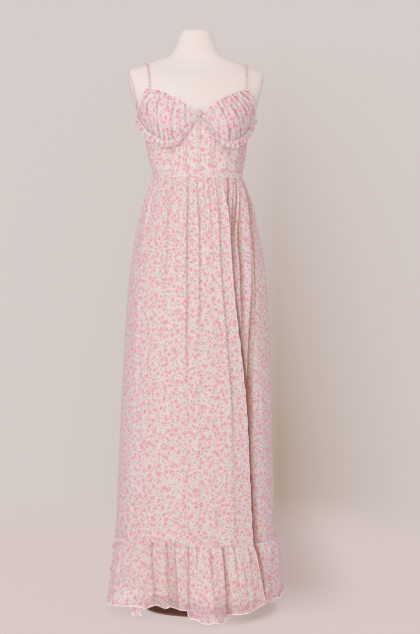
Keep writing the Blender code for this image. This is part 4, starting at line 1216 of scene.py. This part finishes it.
# Rows: angle at the neckline, angle half way, angle at the seam, depth there in tenths of a mm
LEFT_CUP_GATHERS = [
    (7, 10, 13, 6, 7, 9), (14, 20, 25, 10, 6, 9), (21.6, 31, 38.3, 16, 15, 14),
    (27, 37.5, 47, 14, 8, 12), (31.3, 44, 54.4, 20, 19, 16), (36, 50, 61, 16, 13, 12),
    (40.7, 56, 68, 22, 22, 18), (45.6, 61, 73, 16, 16, 14), (50, 66, 77.6, 22, 22, 18),
    (55.5, 70.5, 80, 18, 20, 16), (60.0, 75, 82, 18, 18, 16),
]
RIGHT_CUP_GATHERS = [
    (9, 10, 11, 8, 6, 8), (16.5, 16, 14.5, 16, 13, 10), (23.5, 23, 22, 10, 5, 12),
    (30.6, 31, 32, 15, 14, 16), (36.5, 37, 37, 16, 4, 14), (41, 42, 42, 20, 3, 12),
    (45.5, 48.5, 47, 14, 12, 14), (48, 60, 57, 16, 18, 14), (52.5, 68, 65, 18, 20, 16),
    (57, 75, 72, 16, 18, 18), (60.5, 80, 79, 14, 14, 14),
]


# %% Edges of the cups and the bodice
def cup_seam(angle):
    """Height of a cup's lower edge."""
    return through(CUP_ANGLES, CUP_SEAM_Z, np.abs(angle))


def neckline(angle):
    """Height of a cup's upper edge."""
    return through(CUP_ANGLES, NECKLINE_Z, np.abs(angle))


def bodice_top(angle):
    """Upper edge of the midriff and back: the cup seam in front, a free edge behind."""
    place = np.abs(turned(angle))
    behind = through(BACK_EDGE_ANGLES, BACK_EDGE_Z, place)
    return np.where(place <= CUP_END, cup_seam(place) - 0.001, behind)


def cup_angle(share):
    """Angle of a cup column, with one column on the neckline's outer corner."""
    return through([0.0, 8 / 11, 1.0], [0.0, NECKLINE_CORNER, CUP_END], share)


# %% Points of a cup
def cup_points(lean, gathers, seed):
    """Points of a cup from its seam up to the neckline, for the wearer's left side."""
    share = np.linspace(0.012, 1, 260)[None, :]
    up = np.linspace(0, 1, 72)[:, None]
    top = cup_angle(share)
    foot = cup_angle(share + lean * share * (1 - share))
    angle = foot + (top - foot) * up
    z = cup_seam(foot) + (neckline(top) - cup_seam(foot)) * up
    fullness = 4 * up * (1 - up) * smooth(4 * share) * smooth(4 * (1 - share))
    radius = bodice_radius(angle, z) + 0.0010 + 0.0030 * fullness
    ends = smooth(np.minimum(share - 0.012, 1 - share) / 0.03) * smooth(up / 0.03)
    stand = np.zeros_like(angle)
    for high, middle, low, high_depth, middle_depth, low_depth in gathers:
        line = through([0.0, 0.5, 1.0], [low, middle, high], up)
        lower, upper = (low_depth + middle_depth) / 2, (high_depth + middle_depth) / 2
        depths = [low_depth, lower, middle_depth, upper, high_depth]
        depth = through([0.0, 0.18, 0.5, 0.85, 1.0], depths, up) / 10000
        away = np.radians(angle - line) * radius
        shape = crease(away, 0.0052, 0.0062, 0.0009)
        radius = radius + depth * shape * ends
        # Painted shade in each crease, broken into a few darker lengths
        broken = 0.72 + 0.40 * np.sin(13 * up + 0.8 * high)
        shade = broken * np.clip(-shape, 0, 1) ** 1.6
        stand += depth / 0.002 * (0.6 * np.clip(shape, 0, 1) - 1.9 * shade)
    # Short gathers run in from the seam and from the neckline in turn
    dice = np.random.default_rng(seed)
    for step in range(30):
        place = cup_angle((step + 0.5 + dice.uniform(-0.3, 0.3)) / 30)
        away = np.radians(angle - place) * radius
        short = dice.uniform(0.05, 0.16)
        depth = dice.uniform(0.0004, 0.0010)
        near = np.exp(-(up / short) ** 2) if step % 2 else np.exp(-((1 - up) / short) ** 2)
        radius = radius + depth * crease(away, 0.0022, 0.0028, 0.0006) * near * ends
        # Painted shade in the hollow beside each short gather
        stand -= 900 * depth * bell(away - 0.0010, 0.0013) * near
    return polar(angle, radius, z), np.clip(stand, -1, 1)


# %% Both cups
for cup_name, side, lean, table, seed in (
    ("left", 1, 0.80, LEFT_CUP_GATHERS, 3), ("right", -1, 0.10, RIGHT_CUP_GATHERS, 4),
):
    points, stand = cup_points(lean, table, seed)
    points = points * np.array([side, 1, 1])
    if side < 0:
        points, stand = points[:, ::-1], stand[:, ::-1]
    cup = cloth_sheet(
        "gathered_cup_" + cup_name, points, CHIFFON_DOUBLE, ["cup_" + cup_name],
        stand=stand, start=(36, 130), fullness=1.1, shift=0.11 * side,
    )
    edge = rolled_edge("neckline_binding_" + cup_name, points[-1], 0.0012)

# %% [markdown]
# ## Ruffles and the knot between them
#
# A ruffle is a narrow strip, gathered along one edge and free along the other. Its free edge is
# longer than its seam, so it can't lie flat: it swings in and out and folds over itself.
# The same idea, rolled up tight, makes the little knot at the point of the neckline.


# %% Cup ruffles
RUFFLE_FROM, RUFFLE_TO, RUFFLE_WAVES = 4.0, 83.0, 13
RUFFLE_WIDTH = 0.0180
# It hangs straight down in front, and swings out in degrees towards the arm
RUFFLE_SHARES, RUFFLE_SWING = [0.0, 0.35, 0.6, 0.85, 1.0], [8, 0, 12, 48, 70]


def ruffle_points(phase):
    """Points of a ruffle from its seam out to its free edge, for the wearer's left side."""
    share = np.linspace(0, 1, RUFFLE_WAVES * 26)[None, :]
    out = np.linspace(0, 1, 16)[:, None]
    wave = 2 * math.pi * RUFFLE_WAVES * share + phase + 1.1 * np.sin(9 * share + phase)
    slip = 0.0022 * np.sin(wave + 1.3) * out**1.2
    angle = RUFFLE_FROM + (RUFFLE_TO - RUFFLE_FROM) * share
    z = cup_seam(angle)
    swing = np.radians(through(RUFFLE_SHARES, RUFFLE_SWING, share))
    width = RUFFLE_WIDTH * smooth(0.3 + 6 * share) * out
    radius = bodice_radius(angle, z) + 0.0010
    drop = width * np.cos(swing)
    slide = np.degrees((width * np.sin(swing) + slip) / radius)
    hang = np.maximum(bodice_radius(angle + slide, z - drop), radius - 0.004)
    stand = 0.0060 + 0.0050 * smooth((share - 0.6) / 0.4)
    fall = 0.0018 + stand * np.sin(out * math.pi / 2) + 0.0030 * np.sin(wave) * out
    gathers = 0.0008 * np.sin(2.6 * wave) * (1 - out) ** 1.5
    place = radius + (hang - radius) * out + fall + gathers
    # Where the ruffle swings in it gets painted shade, where it swings out the cooler tone
    return polar(angle + slide, place, z - drop), 0.6 * np.sin(wave) * out


for cup_name, side, phase in (("left", 1, 0.6), ("right", -1, 2.1)):
    points, stand = ruffle_points(phase)
    points = points * np.array([side, 1, 1])
    if side > 0:
        points, stand = points[:, ::-1], stand[:, ::-1]
    ruffle = cloth_sheet(
        "ruffle_" + cup_name, points, CHIFFON_DOUBLE, ["cup_ruffle_" + cup_name],
        stand=stand, start=(0, 170), shift=0.3 * side,
    )
    edge = rolled_edge("ruffle_rolled_edge_" + cup_name, points[-1], 0.0007)

# %% Knot of ruffle at the neckline
lowest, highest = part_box("ruffle_tuft")
middle = (lowest + highest) / 2
half = (highest - lowest) / 2
turn = np.linspace(0, 2 * math.pi, 96, endpoint=False)[None, :]
rise = np.linspace(-math.pi / 2 + 0.05, math.pi / 2 - 0.05, 40)[:, None]
folds = 1 + 0.10 * np.sin(9 * turn + 3 * rise) + 0.05 * np.sin(16 * turn - 5 * rise)
pinch = 1 - 0.22 * bell((rise - 0.15) / 0.16, 1.0)
tuft_points = np.stack(
    [
        middle.x + half.x * 0.95 * np.cos(rise) * np.cos(turn) * folds * pinch,
        middle.y + half.y * 0.92 * np.cos(rise) * np.sin(turn) * folds * pinch,
        np.broadcast_to(middle.z + half.z * 0.97 * np.sin(rise), np.broadcast(turn, rise).shape),
    ],
    axis=-1,
)
# Its hollows get painted shade, its folds the cooler tone
cloth_sheet(
    "neckline_knot", tuft_points, CHIFFON_DOUBLE, ["ruffle_tuft"], stand=folds * 2 - 2, closed=True
)
print("knot:", round(2000 * half.x), "mm wide,", round(2000 * half.z), "mm tall")

# %% [markdown]
# ## Midriff, boning channels and back
#
# The midriff is cut close and smooth over a firm interlining, and is the flattest cloth on the
# dress. Five narrow channels of double cloth are stitched down over the bones. The back and the
# wearer's left side are shirred: rows of elastic thread draw them in to fine gathers.


# %% Midriff
WAISTBAND_TOP, WAISTBAND_BOTTOM = 1.1810, 1.1640
SHIRRED_FROM = 57.0


def bodice_grid(angle, rows):
    """Heights and radii of the bodice between the waistband and its upper edge."""
    low = WAISTBAND_TOP + SEAM_GAP
    share = np.linspace(0, 1, rows)[:, None]
    z = low + (bodice_top(angle) - low) * share
    return share, z, bodice_radius(angle, z)


angle = np.linspace(SIDE_SEAM, SHIRRED_FROM, 260)[None, :]
share, z, radius = bodice_grid(angle, 72)
calm = smooth(share / 0.05) * smooth((1 - share) / 0.05)
radius = radius + ripple(angle * 1.7, z * 4, 0.0005) * calm
# Slight puckers over the waistband's seam
dice = np.random.default_rng(21)
for step in range(34):
    place = SIDE_SEAM + (SHIRRED_FROM - SIDE_SEAM) * (step + dice.uniform(0.2, 0.8)) / 34
    away = np.radians(angle - place) * radius
    near = np.exp(-((share / dice.uniform(0.05, 0.12)) ** 2))
    radius = radius + 0.0005 * crease(away, 0.0028, 0.0035, 0.0007) * near * smooth(share / 0.01)
midriff_points = polar(angle, radius, z)
midriff = cloth_sheet(
    "midriff_panel", midriff_points, CHIFFON_FIRM, ["midriff_front"], start=(0, 160), shift=0.23
)

# %% Boning channels
CHANNEL_WIDTH = 0.009
# The midriff's mean radius, which turns places across it into angles
MIDRIFF_REACH = 0.112
for node_name, across in (
    ("channel_centre", 0.0), ("channel_inner_left", 0.038), ("channel_inner_right", -0.038),
    ("channel_outer_left", 0.073), ("channel_outer_right", -0.073),
):
    middle = math.degrees(math.asin(across / MIDRIFF_REACH))
    half_turn = math.degrees(CHANNEL_WIDTH / 2 / MIDRIFF_REACH)
    edge = np.linspace(-1, 1, 17)[None, :]
    angle = middle + edge * half_turn
    share, z, radius = bodice_grid(angle, 90)
    share, z, radius = share[:84], z[:84], radius[:84]
    domed = 0.0003 + 0.0011 * np.sqrt(np.clip(1 - (np.abs(edge) / 1.02) ** 4, 0, 1))
    # A row of stitches runs down inside each long edge and puckers it
    stitched = 0.0005 * bell((np.abs(edge) - 0.72) / 0.09, 1.0)
    beside = bell((np.abs(edge) - 0.7) / 0.35, 1.0)
    pucker = 0.00035 * np.sin(z * 1500 + 3 * edge + across * 90) * beside
    points = polar(angle, radius + domed - stitched + pucker, z)
    # Painted shade along the puckered line of each row of stitches
    stand = 0.3 - 0.8 * bell((np.abs(edge) - 0.72) / 0.12, 1.0)
    channel = cloth_sheet(
        "boning_" + node_name, points, CHIFFON_DOUBLE, [node_name], stand=stand, shift=2 + across * 3
    )

# %% Shirred back and side
SHIRRED_FULLNESS, SHIRRED_CUT = 1.35, 0.150
ELASTIC_SPACING = 0.012
angle = np.linspace(SHIRRED_FROM + 0.3, SIDE_SEAM + 359.7, 470)[None, :]
share, z, radius = bodice_grid(angle, 96)
span = angle[0, -1] - angle[0, 0]
wave = (angle - angle[0, 0]) / span * 2 * math.pi * 48
wave = wave + 0.8 * np.sin(z * 62) + 0.6 * np.sin(wave / 7.3 + z * 30)
elastic = 0.5 + 0.5 * np.cos(2 * math.pi * (z - WAISTBAND_TOP) / ELASTIC_SPACING)
ends = smooth(np.minimum(angle - angle[0, 0], angle[0, -1] - angle) / 1.5)
shirring = 0.0011 * (0.55 + 0.45 * (1 - elastic)) * (np.sin(wave) - 0.4)
radius = radius + (shirring - 0.0005 * elastic) * ends
back_bodice_points = polar(angle, radius, z)
# The hollows of the shirring get painted shade, its ridges the cooler tone
back_bodice = cloth_sheet(
    "shirred_back", back_bodice_points, CHIFFON_DOUBLE, ["back_bodice"],
    stand=0.7 * np.sin(wave) * ends, fullness=SHIRRED_FULLNESS, shift=-0.4,
)
rolled_edge("back_upper_edge", back_bodice_points[-1, 75:], 0.0012)

# %% [markdown]
# ## Waistband and straps
#
# The band is a folded strip, so it is double and cooler in tone. Its lower edge is piped, which
# is the bright line over the skirt's gathers. The straps are rouleaux: narrow tubes of cloth
# turned inside out, which is why they are round and slightly twisted.

# %% Waistband
angle = np.linspace(-180, 180, 420, endpoint=False)[None, :]
share = np.linspace(0, 1, 17)[:, None]
z = WAISTBAND_BOTTOM + (WAISTBAND_TOP - WAISTBAND_BOTTOM) * share
swell = 0.0009 * np.sqrt(np.clip(1 - (2 * share - 1) ** 4, 0, 1))
puckers = 0.00035 * np.sin(np.radians(angle) * 61 + 2 * np.sin(np.radians(angle) * 5)) * (1 - share)
radius = bodice_radius(angle, 1.1725) + swell + puckers + ripple(angle * 2, z, 0.0003)
band_points = polar(angle, radius, z + 0.0004 * np.sin(np.radians(angle) * 9) * (1 - share))
band = cloth_sheet(
    "waist_band", band_points, CHIFFON_DOUBLE, ["waistband"], stand=0.5, closed=True, shift=0.46
)
piping = rolled_edge("waist_piping", band_points[0], 0.0009, closed=True)

# %% Straps
STRAP_RADIUS = 0.0021
STRAP_LIFT = STRAP_RADIUS + 0.0006
# Distance from the middle and height, at the cup, on the shoulder and at the back's edge
STRAP_FRONT, STRAP_RIDGE, STRAP_BACK = (0.1290, 1.4030), (0.1370, 1.4790), (0.0760, 1.3320)


def torso_face(x, z, side):
    """Front (-1) or back (+1) of the torso at a width and height."""
    half = through(TORSO_Z, TORSO_HALF, z)
    depth = through(TORSO_Z, TORSO_FRONT if side < 0 else TORSO_BACK, z)
    return side * depth * np.clip(1 - np.abs(x / half) ** TORSO_POWER, 0, 1) ** (1 / TORSO_POWER)


def strap_point(x, z, side):
    """A point lifted off the torso at right angles to its surface."""
    step = 0.002
    here = Vector((x, float(torso_face(x, z, side)), z))
    along = Vector((x + step, float(torso_face(x + step, z, side)), z)) - here
    down = here - Vector((x, float(torso_face(x, z - step, side)), z - step))
    away = along.cross(down) if side < 0 else down.cross(along)
    return here + away.normalized() * STRAP_LIFT


strap_path = []
for step in range(9):
    t = step / 9
    z = STRAP_RIDGE[1] - (STRAP_RIDGE[1] - STRAP_FRONT[1]) * (1 - t) ** 2
    strap_path.append(strap_point(STRAP_FRONT[0] + (STRAP_RIDGE[0] - STRAP_FRONT[0]) * t, z, -1))
strap_path.append(Vector((STRAP_RIDGE[0], 0.0, STRAP_RIDGE[1] + STRAP_LIFT)))
for step in range(1, 10):
    t = step / 9
    z = STRAP_RIDGE[1] - (STRAP_RIDGE[1] - STRAP_BACK[1]) * t**2
    x = STRAP_RIDGE[0] + (STRAP_BACK[0] - STRAP_RIDGE[0]) * float(smooth(t))
    strap_path.append(strap_point(x, z, 1))
strap_path = np.array([tuple(point) for point in strap_path])
steps = np.linalg.norm(np.diff(strap_path, axis=0), axis=1)
run = np.concatenate([[0], np.cumsum(steps)])
fine = np.linspace(0, run[-1], 160)
strap_path = through(run, strap_path, fine)
twist = STRAP_RADIUS * (1 + 0.05 * np.sin(fine * 900))
for side_name, side in (("left", 1), ("right", -1)):
    mesh = tube_mesh("rouleau_strap_" + side_name, strap_path * (side, 1, 1), twist, sides=12)
    add_object("rouleau_strap_" + side_name, mesh, CHIFFON_DOUBLE, ["strap_" + side_name])
print("straps:", round(float(run[-1]), 3), "m each")

# %% [markdown]
# ## Light, floor and camera
#
# A garment is photographed in soft, even light: a large softbox in front on the left, the pale
# room all round, and little from the right, so folds read by their shaded right sides.
# The floor is a pale disc that fades into the room, and the camera stands level with the hips.

# %% Room light
# Plain tone response, so that a cloth's own colour is the colour seen in full light
bpy.context.scene.view_settings.view_transform = "Standard"
world = bpy.data.worlds.new("pale_room")
bpy.context.scene.world = world
world.use_nodes = True
tree = world.node_tree
direction = add_node(tree, "TexCoord").outputs["Generated"]
axes = add_node(tree, "SeparateXYZ", {0: direction})
# The backdrop is shaded on the right behind the dress, more so towards the floor: the sideways
# part of the direction where it is darkest, and how fast it fades from there
SHADE_AT, SHADE_REACH = 0.145, 0.064
across = add_node(
    tree, "Math", {0: axes.outputs["X"], 1: SHADE_AT}, operation="SUBTRACT"
).outputs[0]
across = add_node(tree, "Math", {0: across}, operation="ABSOLUTE").outputs[0]
across = add_node(tree, "Math", {0: across, 1: -1 / SHADE_REACH}, operation="MULTIPLY").outputs[0]
side = add_node(tree, "Math", {0: across}, operation="EXPONENT").outputs[0]
lower = add_node(
    tree, "MapRange", {"Value": axes.outputs["Z"], "From Min": 0.232, "From Max": -0.114}
).outputs[0]
shade = add_node(tree, "Math", {0: side, 1: lower}, operation="MULTIPLY").outputs[0]
room = add_node(
    tree, "Mix", {"Factor": shade, "A": linear("#d6ccc9"), "B": linear("#af9b8c")}, data_type="RGBA"
).outputs["Result"]
background = tree.nodes["Background"]
tree.links.new(room, background.inputs["Color"])
background.inputs["Strength"].default_value = 1.0
print("room light:", world.name)


# %% Softboxes
def softbox(name, place, target, size, power):
    """A square soft light, slightly cool, aimed at a point; size in metres, power in watts."""
    light = bpy.data.lights.new(name, "AREA")
    light.shape = "SQUARE"
    light.size = size
    light.energy = power
    light.color = linear("#f6fbff")[:3]
    lamp = bpy.data.objects.new(name, light)
    lamp.location = place
    lamp.rotation_euler = (Vector(target) - Vector(place)).to_track_quat("-Z", "Y").to_euler()
    bpy.context.scene.collection.objects.link(lamp)


softbox("softbox_front_left", (-1.9, -2.7, 1.5), (0, 0, 0.7), 2.0, 32.8)
softbox("softbox_front", (0.4, -3.3, 0.8), (0, 0, 0.4), 2.4, 21)
softbox("softbox_over_floor", (-0.4, -2.0, 3.2), (0, -1.0, 0), 2.2, 12)
print("softboxes:", len(bpy.data.lights))


# %% Floor material
def floor_material(name, colour):
    """Matt frosted floor, softly lit from below, with painted shadows, fading into the room at its rim.
    """
    material, tree, shader = new_material(
        name, {"Roughness": 0.9, "Specular IOR Level": 0.2, "Emission Strength": 0.90}
    )
    place = add_node(tree, "TexCoord").outputs["Object"]
    grain = add_node(tree, "TexNoise", {"Vector": place, "Scale": 3.0, "Detail": 4.0})
    base = add_node(
        tree, "Mix",
        {"Factor": grain.outputs["Fac"], "A": linear(colour), "B": linear("#5b5553")}, data_type="RGBA",
    ).outputs["Result"]
    tree.links.new(base, shader.inputs["Base Color"])
    reach = add_node(tree, "VectorMath", {0: place}, operation="LENGTH").outputs["Value"]
    axes = add_node(tree, "SeparateXYZ", {0: place}).outputs
    # Painted shadow under the hem on the shaded right side
    near = add_node(
        tree, "MapRange",
        {"Value": reach, "From Min": 0.20, "From Max": 0.25, "To Min": 0.38, "To Max": 0.0},
        interpolation_type="SMOOTHSTEP",
    ).outputs[0]
    right = add_node(
        tree, "MapRange", {"Value": axes["X"], "From Min": 0.02, "From Max": 0.15},
        interpolation_type="SMOOTHSTEP",
    ).outputs[0]
    shade = add_node(tree, "Math", {0: near, 1: right}, operation="MULTIPLY").outputs[0]
    # Painted shadow: the shade of the backdrop runs on over the floor behind the dress
    streak = add_node(
        tree, "Math", {0: axes["Y"], 1: -0.12, 2: axes["X"]}, operation="MULTIPLY_ADD"
    ).outputs[0]
    streak = add_node(tree, "Math", {0: streak, 1: 0.24}, operation="SUBTRACT").outputs[0]
    streak = add_node(tree, "Math", {0: streak}, operation="ABSOLUTE").outputs[0]
    streak = add_node(
        tree, "MapRange", {"Value": streak, "From Min": 0.26, "From Max": 0.0, "To Max": 0.42},
        interpolation_type="SMOOTHSTEP",
    ).outputs[0]
    behind = add_node(
        tree, "MapRange", {"Value": axes["Y"], "From Min": -0.15, "From Max": 0.25}
    ).outputs[0]
    streak = add_node(tree, "Math", {0: streak, 1: behind}, operation="MULTIPLY").outputs[0]
    shade = add_node(tree, "Math", {0: shade, 1: streak}, operation="MAXIMUM").outputs[0]
    glow_and_shadow = add_node(
        tree, "Mix", {"Factor": shade, "A": linear("#d2c4c0"), "B": linear("#7c5543")}, data_type="RGBA"
    ).outputs["Result"]
    tree.links.new(glow_and_shadow, shader.inputs["Emission Color"])
    fade = add_node(
        tree, "MapRange",
        {"Value": reach, "From Min": 0.9, "From Max": 2.2, "To Min": 1.0, "To Max": 0.0},
        interpolation_type="SMOOTHSTEP",
    ).outputs[0]
    tree.links.new(fade, shader.inputs["Alpha"])
    return material


# %% Floor
FLOOR_RADIUS, FLOOR_TOP = 2.3, -0.0005
floor_mesh = bpy.data.meshes.new("studio_floor")
floor_points = polar(np.linspace(0, 360, 96, endpoint=False), FLOOR_RADIUS, FLOOR_TOP)
floor_mesh.from_pydata(floor_points.tolist(), [], [list(range(96))[::-1]])
floor_mesh.materials.append(floor_material("frosted_floor", "#5a5452"))
floor = bpy.data.objects.new("studio_floor", floor_mesh)
bpy.context.scene.collection.objects.link(floor)
print("floor:", 2 * FLOOR_RADIUS, "m across")

# %% Camera
IMAGE_HEIGHT_PX = 634
FOCAL_PX = 1168
SENSOR_MM = 36
VIEW_TURN = math.radians(VIEW_DEGREES)
DISTANCE, EYE_HEIGHT, SIDE_STEP = 3.2, 0.79, 0.0384
camera_data = bpy.data.cameras.new("camera")
camera_data.sensor_fit = "VERTICAL"
camera_data.sensor_height = SENSOR_MM
camera_data.lens = SENSOR_MM * FOCAL_PX / IMAGE_HEIGHT_PX
camera = bpy.data.objects.new("camera", camera_data)
ahead = Vector((math.sin(VIEW_TURN), math.cos(VIEW_TURN), 0.0))
to_right = Vector((math.cos(VIEW_TURN), -math.sin(VIEW_TURN), 0.0))
camera.location = Vector((0, 0, EYE_HEIGHT)) - ahead * DISTANCE + to_right * SIDE_STEP
camera.rotation_euler = ahead.to_track_quat("-Z", "Y").to_euler()
bpy.context.scene.collection.objects.link(camera)
bpy.context.scene.camera = camera
print("camera:", round(camera_data.lens, 1), "mm lens,", DISTANCE, "m away")
